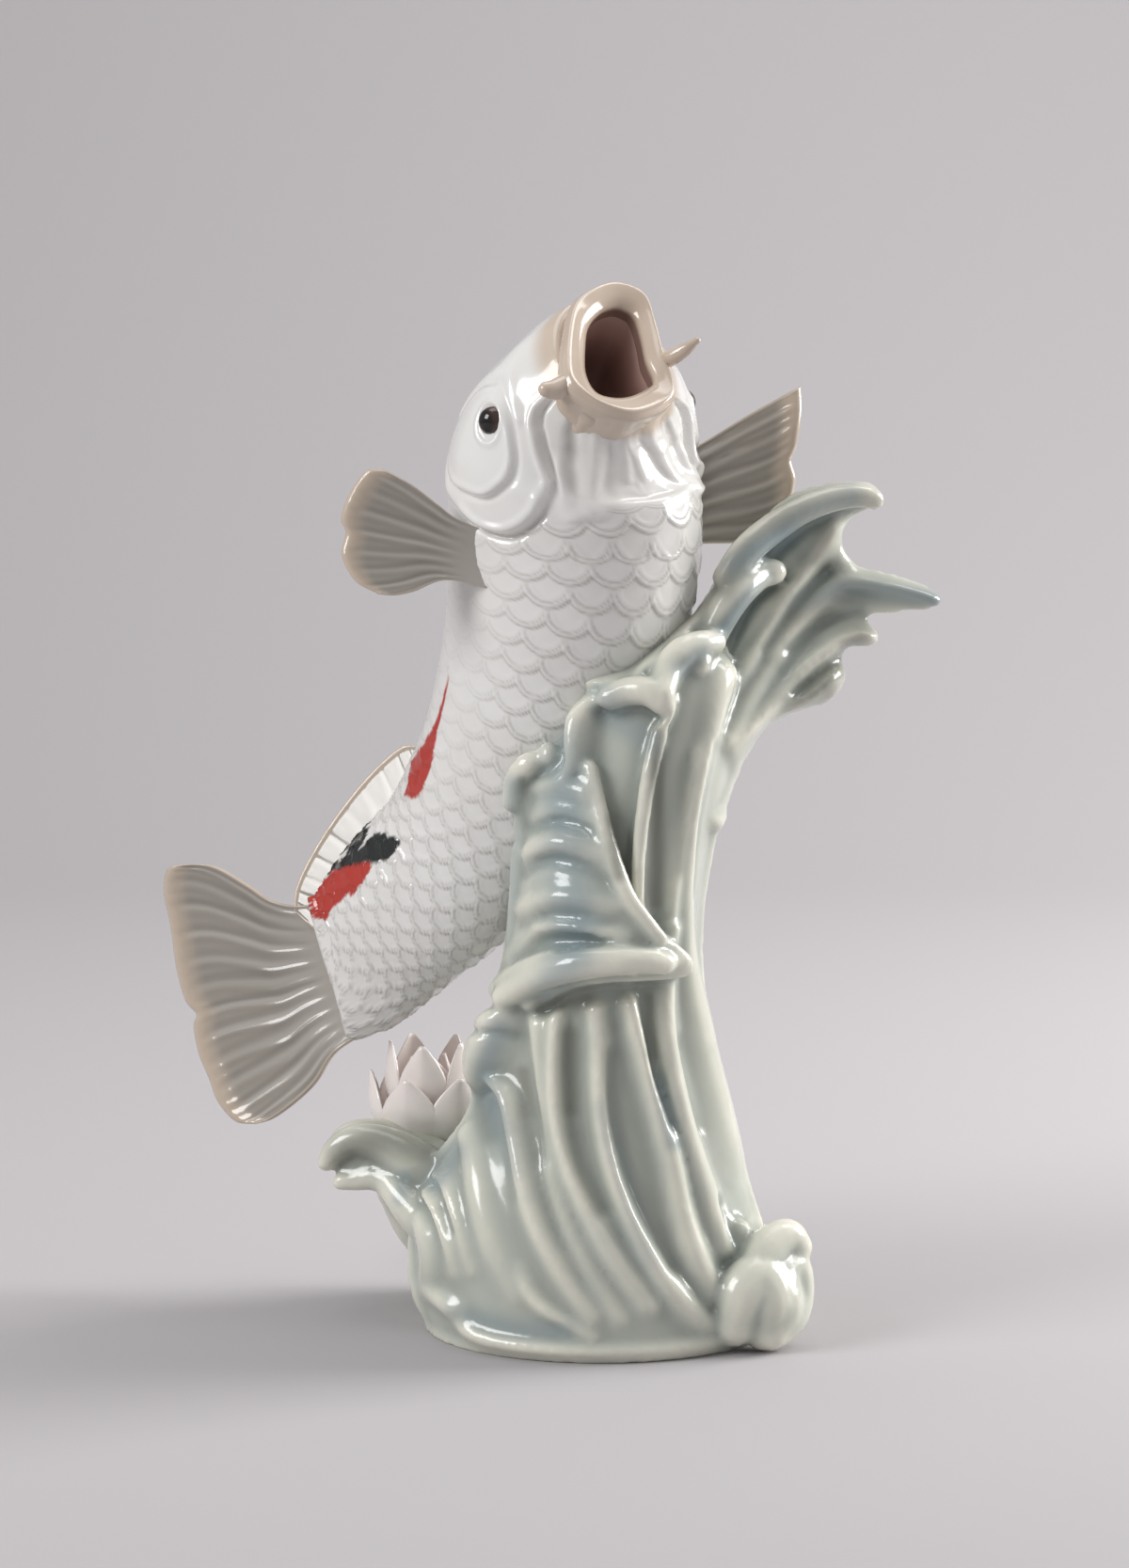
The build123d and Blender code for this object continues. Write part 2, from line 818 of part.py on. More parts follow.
def fan_stations(reach, spread, fan_share):
    """Stations of a fan whose rays part evenly, from its buried root to past its edge."""
    root_half, rim_half, bow = fan_share
    stations = []
    for share in (-fin_bury / reach, fan_reach_share):
        half = root_half + (rim_half - root_half) * share
        size = half / rim_half
        stations.append((
            share * reach, half * spread, size * fin_pleat, fin_thickness, 0, size * bow * reach, 0
        ))
    return stations


tail_plane = Plane(
    origin=spine_points[0],
    x_dir=-Vector(*tail_facing_share),
    z_dir=Vector(*back_share[0]).cross(Vector(*tail_facing_share)),
)
pectoral_right_plane = Plane(
    origin=flank_point(pectoral_right_row, pectoral_right_angle),
    x_dir=pectoral_right_reach_share,
    z_dir=pectoral_right_face_share,
)
pectoral_left_plane = Plane(
    origin=flank_point(pectoral_left_row, pectoral_left_angle),
    x_dir=pectoral_left_reach_share,
    z_dir=pectoral_left_face_share,
)

with BuildPart() as tail_fin:
    add(pleated_sheet(
        tail_plane,
        fan_stations(tail_reach, tail_spread, tail_fan_share),
        tail_pleat_count,
    ))
    add(outline_prism(tail_plane, tail_outline_share, tail_reach, tail_spread),
        mode=Mode.INTERSECT)
    add(scaled_trunk, mode=Mode.SUBTRACT)

finish(tail_fin, "tail_fin")

with BuildPart() as pectoral_fin_right:
    add(pleated_sheet(
        pectoral_right_plane,
        fan_stations(pectoral_right_reach, pectoral_right_spread, pectoral_right_fan_share),
        pectoral_pleat_count,
    ))
    add(outline_prism(pectoral_right_plane, pectoral_right_outline_share,
                      pectoral_right_reach, pectoral_right_spread), mode=Mode.INTERSECT)
    add(gill_covers.part, mode=Mode.SUBTRACT)
    add(scaled_trunk, mode=Mode.SUBTRACT)

finish(pectoral_fin_right, "pectoral_fin_right")

with BuildPart() as pectoral_fin_left:
    add(pleated_sheet(
        pectoral_left_plane,
        fan_stations(pectoral_left_reach, pectoral_left_spread, pectoral_left_fan_share),
        pectoral_pleat_count,
    ))
    add(outline_prism(pectoral_left_plane, pectoral_left_outline_share,
                      pectoral_left_reach, pectoral_left_spread), mode=Mode.INTERSECT)
    add(gill_covers.part, mode=Mode.SUBTRACT)
    add(scaled_trunk, mode=Mode.SUBTRACT)

finish(pectoral_fin_left, "pectoral_fin_left")

# The dorsal fin stands on the ridge of the back and leans to the tail
dorsal_tail_end = flank_point(dorsal_tail_row, 90)
dorsal_head_end = flank_point(dorsal_head_row, 90)
dorsal_along = (dorsal_head_end - dorsal_tail_end).normalized()
dorsal_lean = Vector(*dorsal_lean_share)
dorsal_plane = Plane(
    origin=(dorsal_tail_end + dorsal_head_end) / 2,
    x_dir=dorsal_lean - dorsal_along * dorsal_lean.dot(dorsal_along),
    z_dir=dorsal_lean.cross(dorsal_along),
)

with BuildPart() as dorsal_fin:
    add(pleated_sheet(
        dorsal_plane,
        [
            (reach * dorsal_reach, half * dorsal_spread, fin_pleat, size * fin_thickness, 0, 0, 0)
            for reach, half, size in dorsal_sheet_share
        ],
        dorsal_pleat_count,
    ))
    add(outline_prism(dorsal_plane, dorsal_outline_share, dorsal_reach, dorsal_spread),
        mode=Mode.INTERSECT)
    add(scaled_trunk, mode=Mode.SUBTRACT)
    add(tail_fin.part, mode=Mode.SUBTRACT)

finish(dorsal_fin, "dorsal_fin")


# Wave

def horn(points, outwards, half_depths, half_widths):
    """Tapering curl of water through a row of oval sections."""
    sections = []
    for index, point in enumerate(points):
        before, after = points[max(index - 1, 0)], points[min(index + 1, len(points) - 1)]
        plane = Plane(origin=point, x_dir=outwards[index], z_dir=after - before)
        sections.append(oval(plane, half_depths[index], half_widths[index], water_side_count))
    with BuildPart() as form:
        add(faceted_loft(sections))
    return form.part


def column_lip(path_share, width, depth, ripple_share=0):
    """Curl that runs over the column's skin, with ripples across it if it has any."""
    count = water_step_count * (len(path_share) - 1)
    rows = [along_rows(path_share, step / water_step_count) for step in range(count + 1)]
    places = [column_point(row[0], row[1], row[4] * depth) for row in rows]
    swells = [1 + ripple_share * cos(pi * step) for step in range(count + 1)]
    return horn(
        [point for point, _ in places],
        [outward for _, outward in places],
        [row[3] * depth * swell for row, swell in zip(rows, swells)],
        [row[2] * width * swell for row, swell in zip(rows, swells)],
    )


with BuildPart() as wave_column:
    add(column_form.part)
    add(scaled_trunk, mode=Mode.SUBTRACT)
    with BuildSketch(Plane.XY):
        with Locations((-vent_left, vent_behind)):
            Circle(vent_diameter / 2)
    extrude(amount=vent_depth, mode=Mode.SUBTRACT)

finish(wave_column, "wave_column")

crest_root = column_row(crest_root_share)[0]
crest_up = Vector(sin(radians(crest_lean_angle)), 0, cos(radians(crest_lean_angle)))
crest_across = Vector(crest_up.Z, 0, -crest_up.X)
crest_plane = Plane(origin=crest_root, x_dir=crest_up, z_dir=crest_up.cross(crest_across))

crest_stations = [
    (
        reach * crest_reach,
        half * crest_width,
        pleat * crest_width,
        thickness * crest_thickness,
        middle * crest_width,
        bow * crest_width,
        tilt * crest_width,
    )
    for reach, half, thickness, middle, bow, tilt, pleat in crest_share
]

with BuildPart() as crest_form:
    add(pleated_sheet(crest_plane, crest_stations, crest_pleat_count))
    add(outline_prism(crest_plane, crest_outline_share, crest_reach, crest_width),
        mode=Mode.INTERSECT)

with BuildPart() as wave_crest:
    add(crest_form.part)
    add(column_form.part, mode=Mode.SUBTRACT)
    add(trunk, mode=Mode.SUBTRACT)

finish(wave_crest, "wave_crest")

ridge_points = [
    crest_root
    + crest_up * (row[0] * crest_reach)
    + crest_across * (row[1] * crest_width)
    + Vector(0, row[2] * crest_width, 0)
    for row in ridge_path_share
]
ridge_form = horn(
    ridge_points,
    [Vector(0, -1, 0)] * len(ridge_points),
    [row[4] * ridge_depth for row in ridge_path_share],
    [row[3] * ridge_width for row in ridge_path_share],
)
with BuildPart() as middle_ridge:
    add(ridge_form)
    add(column_form.part, mode=Mode.SUBTRACT)
    add(crest_form.part, mode=Mode.SUBTRACT)
    add(trunk, mode=Mode.SUBTRACT)

finish(middle_ridge, "middle_ridge")

front_lip_form = column_lip(front_lip_path_share, front_lip_width, front_lip_depth)
with BuildPart() as front_lip:
    add(front_lip_form)
    add(column_form.part, mode=Mode.SUBTRACT)
    add(ridge_form, mode=Mode.SUBTRACT)
    add(crest_form.part, mode=Mode.SUBTRACT)
    add(trunk, mode=Mode.SUBTRACT)

finish(front_lip, "front_lip")

tongue_form = column_lip(tongue_path_share, tongue_width, tongue_depth, tongue_ripple_share)
with BuildPart() as front_tongue:
    add(tongue_form)
    add(column_form.part, mode=Mode.SUBTRACT)
    add(crest_form.part, mode=Mode.SUBTRACT)
    add(trunk, mode=Mode.SUBTRACT)

finish(front_tongue, "front_tongue")

with BuildPart() as left_rim:
    add(column_lip(left_rim_path_share, left_rim_width, left_rim_depth))
    add(column_form.part, mode=Mode.SUBTRACT)
    add(crest_form.part, mode=Mode.SUBTRACT)
    add(front_lip_form, mode=Mode.SUBTRACT)
    add(tongue_form, mode=Mode.SUBTRACT)
    add(trunk, mode=Mode.SUBTRACT)

finish(left_rim, "left_rim")

with BuildPart() as small_tongue:
    add(column_lip(small_tongue_path_share, small_tongue_width, small_tongue_depth))
    add(column_form.part, mode=Mode.SUBTRACT)
    add(tongue_form, mode=Mode.SUBTRACT)

finish(small_tongue, "small_tongue")

with BuildPart() as right_curl:
    add(column_lip(right_curl_path_share, right_curl_width, right_curl_depth))
    add(column_form.part, mode=Mode.SUBTRACT)

finish(right_curl, "right_curl")

left_curl_root = column_point(left_curl_height_share, left_curl_angle)[0]


def left_splash(path_share, width, depth):
    """Curl that reaches out to the left from the left curl's root."""
    points = [left_curl_root + Vector(*row[:3]) * left_curl_reach for row in path_share]
    return horn(
        points,
        [Vector(0, 0, 1)] * len(points),
        [row[4] * depth for row in path_share],
        [row[3] * width for row in path_share],
    )


left_curl_form = left_splash(left_curl_path_share, left_curl_width, left_curl_depth)
with BuildPart() as left_curl:
    add(left_curl_form)
    add(column_form.part, mode=Mode.SUBTRACT)

finish(left_curl, "left_curl")

with BuildPart() as left_finger:
    add(left_splash(left_finger_path_share, left_finger_width, left_finger_width))
    add(column_form.part, mode=Mode.SUBTRACT)
    add(left_curl_form, mode=Mode.SUBTRACT)

finish(left_finger, "left_finger")


# Water lily

lily_foot = left_curl_root + Vector(*lily_place_share) * left_curl_reach

with BuildPart() as heart_form:
    with BuildSketch(Plane.XY.offset(lily_foot.Z - lily_heart_bury)):
        with Locations((lily_foot.X, lily_foot.Y)):
            Circle(lily_heart_diameter / 2)
    extrude(amount=lily_heart_bury + lily_heart_height)

with BuildPart() as lily_heart:
    add(heart_form.part)
    add(left_curl_form, mode=Mode.SUBTRACT)
    add(column_form.part, mode=Mode.SUBTRACT)

finish(lily_heart, "lily_heart")


def petal_plane(bearing):
    """Upright plane through the lily's middle. X runs outwards and Y up."""
    outward = Vector(cos(radians(bearing)), sin(radians(bearing)), 0)
    return Plane(origin=lily_foot, x_dir=outward, z_dir=Vector(outward.Y, -outward.X, 0))


def petal_form(bearing, profile_share, width):
    """Cupped strip, cut to a leaf."""
    side = petal_plane(bearing)
    face = Plane(origin=side.origin, x_dir=-side.z_dir, z_dir=side.x_dir)
    outer = [(out * petal_reach, up * petal_rise) for out, up in profile_share]
    inner = [(out - petal_thickness, up + petal_thickness) for out, up in outer]
    rise = profile_share[-1][1] * petal_rise + petal_thickness
    half = width * petal_width
    leaf = [(half * out, rise * up) for up, out in leaf_share]
    leaf += [(-out, up) for out, up in reversed(leaf)]
    with BuildPart() as form:
        extrude(face_of(side, outer + inner[::-1]), amount=petal_width, both=True)
        extrude(face_of(face, leaf), amount=petal_reach + overrun, mode=Mode.INTERSECT)
    return form.part


for ring_name, count, turn, profile_share, width in petal_ring_share:
    lapped = []
    for index in range(count):
        with BuildPart() as petal:
            add(petal_form(360 * (index + turn) / count, profile_share, width))
            for neighbour in (heart_form.part, left_curl_form, column_form.part, *lapped):
                add(neighbour, mode=Mode.SUBTRACT)
        lapped.append(petal.part)
        finish(petal, f"{ring_name}_petal_{index + 1}")

with BuildPart() as lily_stamens:
    with BuildSketch(Plane.XY.offset(lily_foot.Z + lily_heart_height)):
        with Locations((lily_foot.X, lily_foot.Y)):
            with PolarLocations(stamen_ring_share * lily_heart_diameter, stamen_count):
                RegularPolygon(stamen_diameter / 2, 5)
    extrude(amount=stamen_height)

lily_stamens.part.label = "lily_stamens"
export_step(lily_stamens.part, "parts/lily_stamens.step")
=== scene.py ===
import math
import bpy
import bmesh
import numpy as np
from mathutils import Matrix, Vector


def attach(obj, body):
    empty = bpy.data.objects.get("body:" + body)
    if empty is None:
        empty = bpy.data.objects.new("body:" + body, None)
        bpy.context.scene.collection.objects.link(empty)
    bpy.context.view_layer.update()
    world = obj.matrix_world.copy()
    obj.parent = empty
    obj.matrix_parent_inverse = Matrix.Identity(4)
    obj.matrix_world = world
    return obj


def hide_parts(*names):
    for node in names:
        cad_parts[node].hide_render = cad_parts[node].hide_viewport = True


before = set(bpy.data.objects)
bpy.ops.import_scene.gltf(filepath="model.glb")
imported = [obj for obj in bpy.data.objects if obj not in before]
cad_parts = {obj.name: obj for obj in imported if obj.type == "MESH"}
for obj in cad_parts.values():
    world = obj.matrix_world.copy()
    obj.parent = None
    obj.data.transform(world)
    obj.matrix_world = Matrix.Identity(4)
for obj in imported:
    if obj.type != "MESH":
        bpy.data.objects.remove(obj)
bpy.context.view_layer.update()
for obj in bpy.context.selected_objects:
    obj.select_set(False)
print("frame loaded", len(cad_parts), "nodes")

mm = 0.001


# Shared mesh helpers. Places are in millimetres until a mesh is made.

def unit(v):
    return v / np.maximum(np.linalg.norm(v, axis=-1, keepdims=True), 1e-9)


def smooth(low, high, x):
    t = np.clip((x - low) / (high - low), 0, 1)
    return t * t * (3 - 2 * t)


def bump(x, width):  # a soft ridge of height 1 round zero
    return np.exp(-(x / width) ** 2)


def alongRows(table, u):  # smooth curve through the rows of a table, u counts rows
    table = np.asarray(table, float)
    rows = np.vstack([2 * table[0] - table[1], table, 2 * table[-1] - table[-2]])
    i = np.clip(np.floor(u).astype(int), 0, len(table) - 2)
    t = (u - i)[..., None]
    a, b, c, d = rows[i], rows[i + 1], rows[i + 2], rows[i + 3]
    return 0.5 * (2 * b + (c - a) * t + (2 * a - 5 * b + 4 * c - d) * t**2 + (3 * b - a - 3 * c + d) * t**3)


def fineLine(table, steps):  # the smooth curve, with so many steps from row to row
    return alongRows(table, np.linspace(0, len(table) - 1, steps * (len(table) - 1) + 1))


def closedLine(table, steps=4):  # the same for a curve that closes on itself
    loop = np.vstack([table[-1:], table, table[:2]])
    return alongRows(loop, np.linspace(1, len(table) + 1, steps * len(table) + 1))[:-1]


def fullTurn(count):  # bearings of so many points evenly round
    return np.linspace(0, 2 * math.pi, count, endpoint=False)


def onLoop(bearing, bearings, places):  # places of a loop read at other bearings
    return np.stack([np.interp(bearing, bearings, line, period=2 * math.pi) for line in places.T], -1)


def readTable(table, x):  # each column of a table at places down its first column
    rows = np.array(table, float)
    return [np.interp(x, rows[:, 0], column) for column in rows.T[1:]]


def tubeFaces(rows, columns, closed=False):  # quads of a grid that closes round its columns, or both ways
    i, j = np.meshgrid(np.arange(rows if closed else rows - 1), np.arange(columns), indexing="ij")
    below, beside = (i + 1) % rows * columns, (j + 1) % columns
    quads = np.stack([i * columns + j, i * columns + beside, below + beside, below + j], -1)
    return quads.reshape(-1, 4).tolist()


def cappedFaces(rows, columns):  # a tube with a flat face at each end
    last = (rows - 1) * columns
    return tubeFaces(rows, columns) + [list(range(columns))[::-1], list(range(last, last + columns))]


def leafFaces(rows, columns):  # two skins of a leaf: each ring runs over the front and back along the rear
    sides = 2 * columns
    last = (rows - 1) * sides
    faces = tubeFaces(rows, sides)
    pairs = [(j, sides - 1 - j) for j in range(columns - 1)]  # points that face each other
    faces += [[a, a + 1, b - 1, b] for a, b in pairs]
    return faces + [[last + a, last + b, last + b - 1, last + a + 1] for a, b in pairs]


def joined(forms):  # several forms as one set of points and faces
    points, faces, start = [], [], 0
    for own, ownFaces in forms:
        points.append(own)
        faces += [[start + k for k in face] for face in ownFaces]
        start += len(own)
    return np.vstack(points), faces


def smoothShade(mesh):
    mesh.polygons.foreach_set("use_smooth", [True] * len(mesh.polygons))


def addObject(name, data):
    made = bpy.data.objects.new(name, data)
    bpy.context.scene.collection.objects.link(made)
    return made


def makePiece(name, points, faces, glaze=None):
    mesh = bpy.data.meshes.new(name)
    mesh.from_pydata((np.asarray(points) * mm).tolist(), [], faces)
    mesh.update()
    piece = addObject(name, mesh)
    outward(piece)
    smoothShade(mesh)
    if glaze:
        mesh.materials.append(finish[glaze])
    return piece


def readBack(items, key, size, kind=float):  # one property of all points or edges, a row for each
    values = np.zeros(len(items) * size, kind)
    items.foreach_get(key, values)
    return values.reshape(-1, size)


def outward(piece):
    form = bmesh.new()
    form.from_mesh(piece.data)
    bmesh.ops.recalc_face_normals(form, faces=form.faces)
    form.to_mesh(piece.data)
    form.free()


def paint(piece, name, values):  # one number for each point of a piece
    layer = piece.data.attributes.new(name, "FLOAT", "POINT")
    layer.data.foreach_set("value", np.asarray(values, np.float32).ravel())


def settle(piece, slot, *nodes):
    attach(piece, "root")
    if nodes:
        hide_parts(*nodes)
    print("made", piece.name, len(piece.data.polygons), "faces")


# Glazes. Colours are as the eye reads them, 0 to 255. The base runs through its stops by noise of a
# scale or by a painted attribute, and each layer covers it as far as its own attribute says.

glazes = {
    "koiGlaze": {
        "rough": 0.16, "coat": 0.6, "base": 26, "stops": [(0.3, (226, 224, 220)), (0.7, (234, 233, 230))],
        # grooveShade is painted shade: darker in the scale grooves and the head's low places
        "layers": [("grooveShade", (180, 177, 170)), ("redPaint", (178, 52, 40)), ("blackPaint", (22, 26, 25)),
                   ("beige", (203, 187, 170))], "grain": (90, 2.0, 0.25),
    },
    "finGlaze": {
        "rough": 0.16, "coat": 0.5, "base": "ray",
        # the ray stops are painted light and shade: lighter on the ray ridges, darker in the grooves
        "stops": [(0.0, (132, 126, 118)), (0.5, (154, 148, 139)), (1.0, (180, 175, 166))],
        "layers": [("root", (170, 165, 157)), ("rim", (194, 178, 160))], "grain": (120, 2.0, 0.3),
    },
    "waveGlaze": {
        "rough": 0.22, "coat": 0.5, "base": "relief",
        # the relief stops are painted shade in the hollows and painted highlight on the ridges
        "stops": [(0.0, (140, 146, 138)), (0.3, (168, 172, 162)), (0.5, (192, 196, 184)),
                  (0.72, (216, 216, 201)), (1.0, (234, 231, 216))],
        "layers": [("mist", (164, 174, 168)), ("shade", (122, 124, 114)), ("blue", (140, 156, 160))],
        "mist": {"noise": (38, 4.0, 0.62), "from": 0.40, "to": 0.75, "most": 0.34},
        "grain": (150, 3.0, 0.2),
    },
    "lipGlaze": {
        "rough": 0.14, "coat": 0.7, "base": 40, "stops": [(0.3, (190, 172, 155)), (0.7, (205, 189, 172))],
        # inner is the lining's own colour inside the lips, and painted shade at the barbels' roots
        "layers": [("inner", (148, 122, 112))],
    },
    "liningGlaze": {
        "rough": 0.18, "coat": 0.5, "base": "deep",
        # the deep stops lay painted shade over the lining's pinkish brown, darker further down into the
        # mouth
        "stops": [(0.0, (206, 176, 166)), (0.45, (190, 155, 145)), (1.0, (138, 108, 100))],
        "layers": [("pink", (206, 168, 158))], "grain": (90, 2.0, 0.3),
    },
    "eyeGlaze": {
        "rough": 0.08, "coat": 0.3, "base": 120, "stops": [(0.3, (14, 9, 8)), (0.7, (24, 16, 14))],
        "layers": [("iris", (70, 52, 44))],
    },
    "petalGlaze": {
        "rough": 0.2, "coat": 0.4, "base": 50, "stops": [(0.3, (234, 229, 223)), (0.7, (242, 238, 233))],
        "layers": [("pink", (236, 168, 168))],
    },
    "stamenGlaze": {
        "rough": 0.16, "coat": 0.5, "base": 60,
        "stops": [(0.3, (215.4, 143, 143)), (0.7, (234.1, 155.3, 155.3))],
    },
}
grainDepth = 0.0003


def linear(red, green, blue):
    return tuple((c / 255) ** 2.2 for c in (red, green, blue))


def addNode(tree, kind, inputs=(), **values):
    node = tree.nodes.new(kind)
    for key, value in values.items():
        setattr(node, key, value)
    for key, value in dict(inputs).items():
        node.inputs[key].default_value = value
    return node


def attribute(tree, name):
    return addNode(tree, "ShaderNodeAttribute", attribute_name=name).outputs["Fac"]


def noise(tree, scale, detail=3.0, rough=0.5):
    place = addNode(tree, "ShaderNodeTexCoord")
    node = addNode(tree, "ShaderNodeTexNoise", {"Scale": scale, "Detail": detail, "Roughness": rough})
    tree.links.new(place.outputs["Object"], node.inputs["Vector"])
    return node.outputs["Fac"]


def ramp(tree, factor, stops):
    node = addNode(tree, "ShaderNodeValToRGB")
    band = node.color_ramp
    while len(band.elements) < len(stops):
        band.elements.new(0.5)
    for element, (place, colour) in zip(band.elements, stops):
        element.position = place
        element.color = (*colour, 1)
    tree.links.new(factor, node.inputs["Fac"])
    return node.outputs["Color"]


def layOver(tree, cover, under, colour):
    node = addNode(tree, "ShaderNodeMix", data_type="RGBA")
    tree.links.new(cover, node.inputs["Factor"])
    tree.links.new(under, node.inputs["A"])
    node.inputs["B"].default_value = (*colour, 1)
    return node.outputs["Result"]


def makeGlaze(name, rough, coat, base, stops, layers=(), mist=None, grain=None):
    material = bpy.data.materials.new(name)
    material.use_nodes = True
    tree = material.node_tree
    shader = tree.nodes["Principled BSDF"]
    plain = {"Roughness": rough, "Coat Weight": coat, "Coat Roughness": 0.5 * rough, "IOR": 1.5}
    for socket, value in plain.items():
        shader.inputs[socket].default_value = value
    factor = attribute(tree, base) if isinstance(base, str) else noise(tree, base)
    colour = ramp(tree, factor, [(place, linear(*tone)) for place, tone in stops])
    for layer, tone in layers:
        if layer == "mist":
            ends = [(mist["from"], (0, 0, 0)), (mist["to"], (mist["most"],) * 3)]
            cover = ramp(tree, noise(tree, *mist["noise"]), ends)
        else:
            cover = attribute(tree, layer)
        colour = layOver(tree, cover, colour, linear(*tone))
    tree.links.new(colour, shader.inputs["Base Color"])
    if grain:
        scale, detail, strength = grain
        rise = addNode(tree, "ShaderNodeBump", {"Strength": strength, "Distance": grainDepth})
        tree.links.new(noise(tree, scale, detail), rise.inputs["Height"])
        tree.links.new(rise.outputs["Normal"], shader.inputs["Normal"])
    return material


finish = {name: makeGlaze(name, **values) for name, values in glazes.items()}


# The photo's view, from which places are read

view = {
    "lens": 100, "film": 36, "frame": (1200, 1667),
    "pitch": 7.5, "reach": 1528, "target": (-12.5, 0, 194.4),
}
pitch = math.radians(view["pitch"])
viewFacing = np.array([0, math.cos(pitch), -math.sin(pitch)])
viewUp = np.array([0, math.sin(pitch), math.cos(pitch)])
viewPlace = np.array(view["target"]) - viewFacing * view["reach"]
focal = view["lens"] / view["film"] * view["frame"][1]  # in the photo's pixels
middleX, middleY = view["frame"][0] / 2, view["frame"][1] / 2


def sightLine(px, py):  # way from the camera through a place in the photo
    across = (np.asarray(px, float) - middleX) / focal
    up = (middleY - np.asarray(py, float)) / focal
    return viewFacing + across[..., None] * np.array([1, 0, 0]) + up[..., None] * viewUp


def atDepth(px, py, depth):
    ray = sightLine(px, py)
    return viewPlace + ray * ((depth - viewPlace[1]) / ray[..., 1])[..., None]


def toPhoto(place):
    offset = place - viewPlace
    away = offset @ viewFacing
    return middleX + offset[..., 0] / away * focal, middleY - offset @ viewUp / away * focal


def toSegment(x, y, a, b):  # share of the way along it, and distance from it
    wayX, wayY = b[0] - a[0], b[1] - a[1]
    t = np.clip(((x - a[0]) * wayX + (y - a[1]) * wayY) / (wayX**2 + wayY**2 + 1e-9), 0, 1)
    return t, np.hypot(x - a[0] - t * wayX, y - a[1] - t * wayY)


def insideLoop(x, y, corners):  # distance in from the edge, below zero outside
    away = np.full(x.shape, 1e9)
    inside = np.zeros(x.shape, bool)
    for a, b in zip(corners, np.roll(corners, -1, 0)):
        away = np.minimum(away, toSegment(x, y, a, b)[1])
        crossing = (b[0] - a[0]) * (y - a[1]) / (b[1] - a[1] + 1e-12) + a[0]
        inside ^= ((a[1] > y) != (b[1] > y)) & (x < crossing)
    return np.where(inside, away, -away)


def tube(points, radii, sides=14, steps=7):  # a rod with round ends along a smooth line
    path = fineLine(np.hstack([np.array(points, float), np.array(radii, float)[:, None]]), steps)
    middle, radius = path[:, :3], np.maximum(path[:, 3], 0.4)
    ahead = unit(np.gradient(middle, axis=0))
    dome = np.radians([12, 35, 60, 80])  # rings of the round ends
    cap, drop = np.sin(dome), np.cos(dome)[:, None]
    middle = np.vstack([middle[0] - ahead[0] * radius[0] * drop, middle,
                        (middle[-1] + ahead[-1] * radius[-1] * drop)[::-1]])
    radius = np.concatenate([radius[0] * cap, radius, (radius[-1] * cap)[::-1]])
    ahead = np.vstack([np.repeat(ahead[:1], len(dome), 0), ahead, np.repeat(ahead[-1:], len(dome), 0)])
    side = np.zeros_like(ahead)
    start = np.array([0.0, -1.0, 0.15])
    for k, way in enumerate(ahead):  # the side is carried along without a twist
        start = unit(start - way * (start @ way))
        side[k] = start
    turn = fullTurn(sides)[:, None]
    ring = side[:, None] * np.cos(turn) + np.cross(ahead, side)[:, None] * np.sin(turn)
    shape = middle[:, None] + ring * radius[:, None, None]
    return shape.reshape(-1, 3), cappedFaces(len(middle), sides)


# Koi. Rows of the table run from the root of the tail to the mouth.

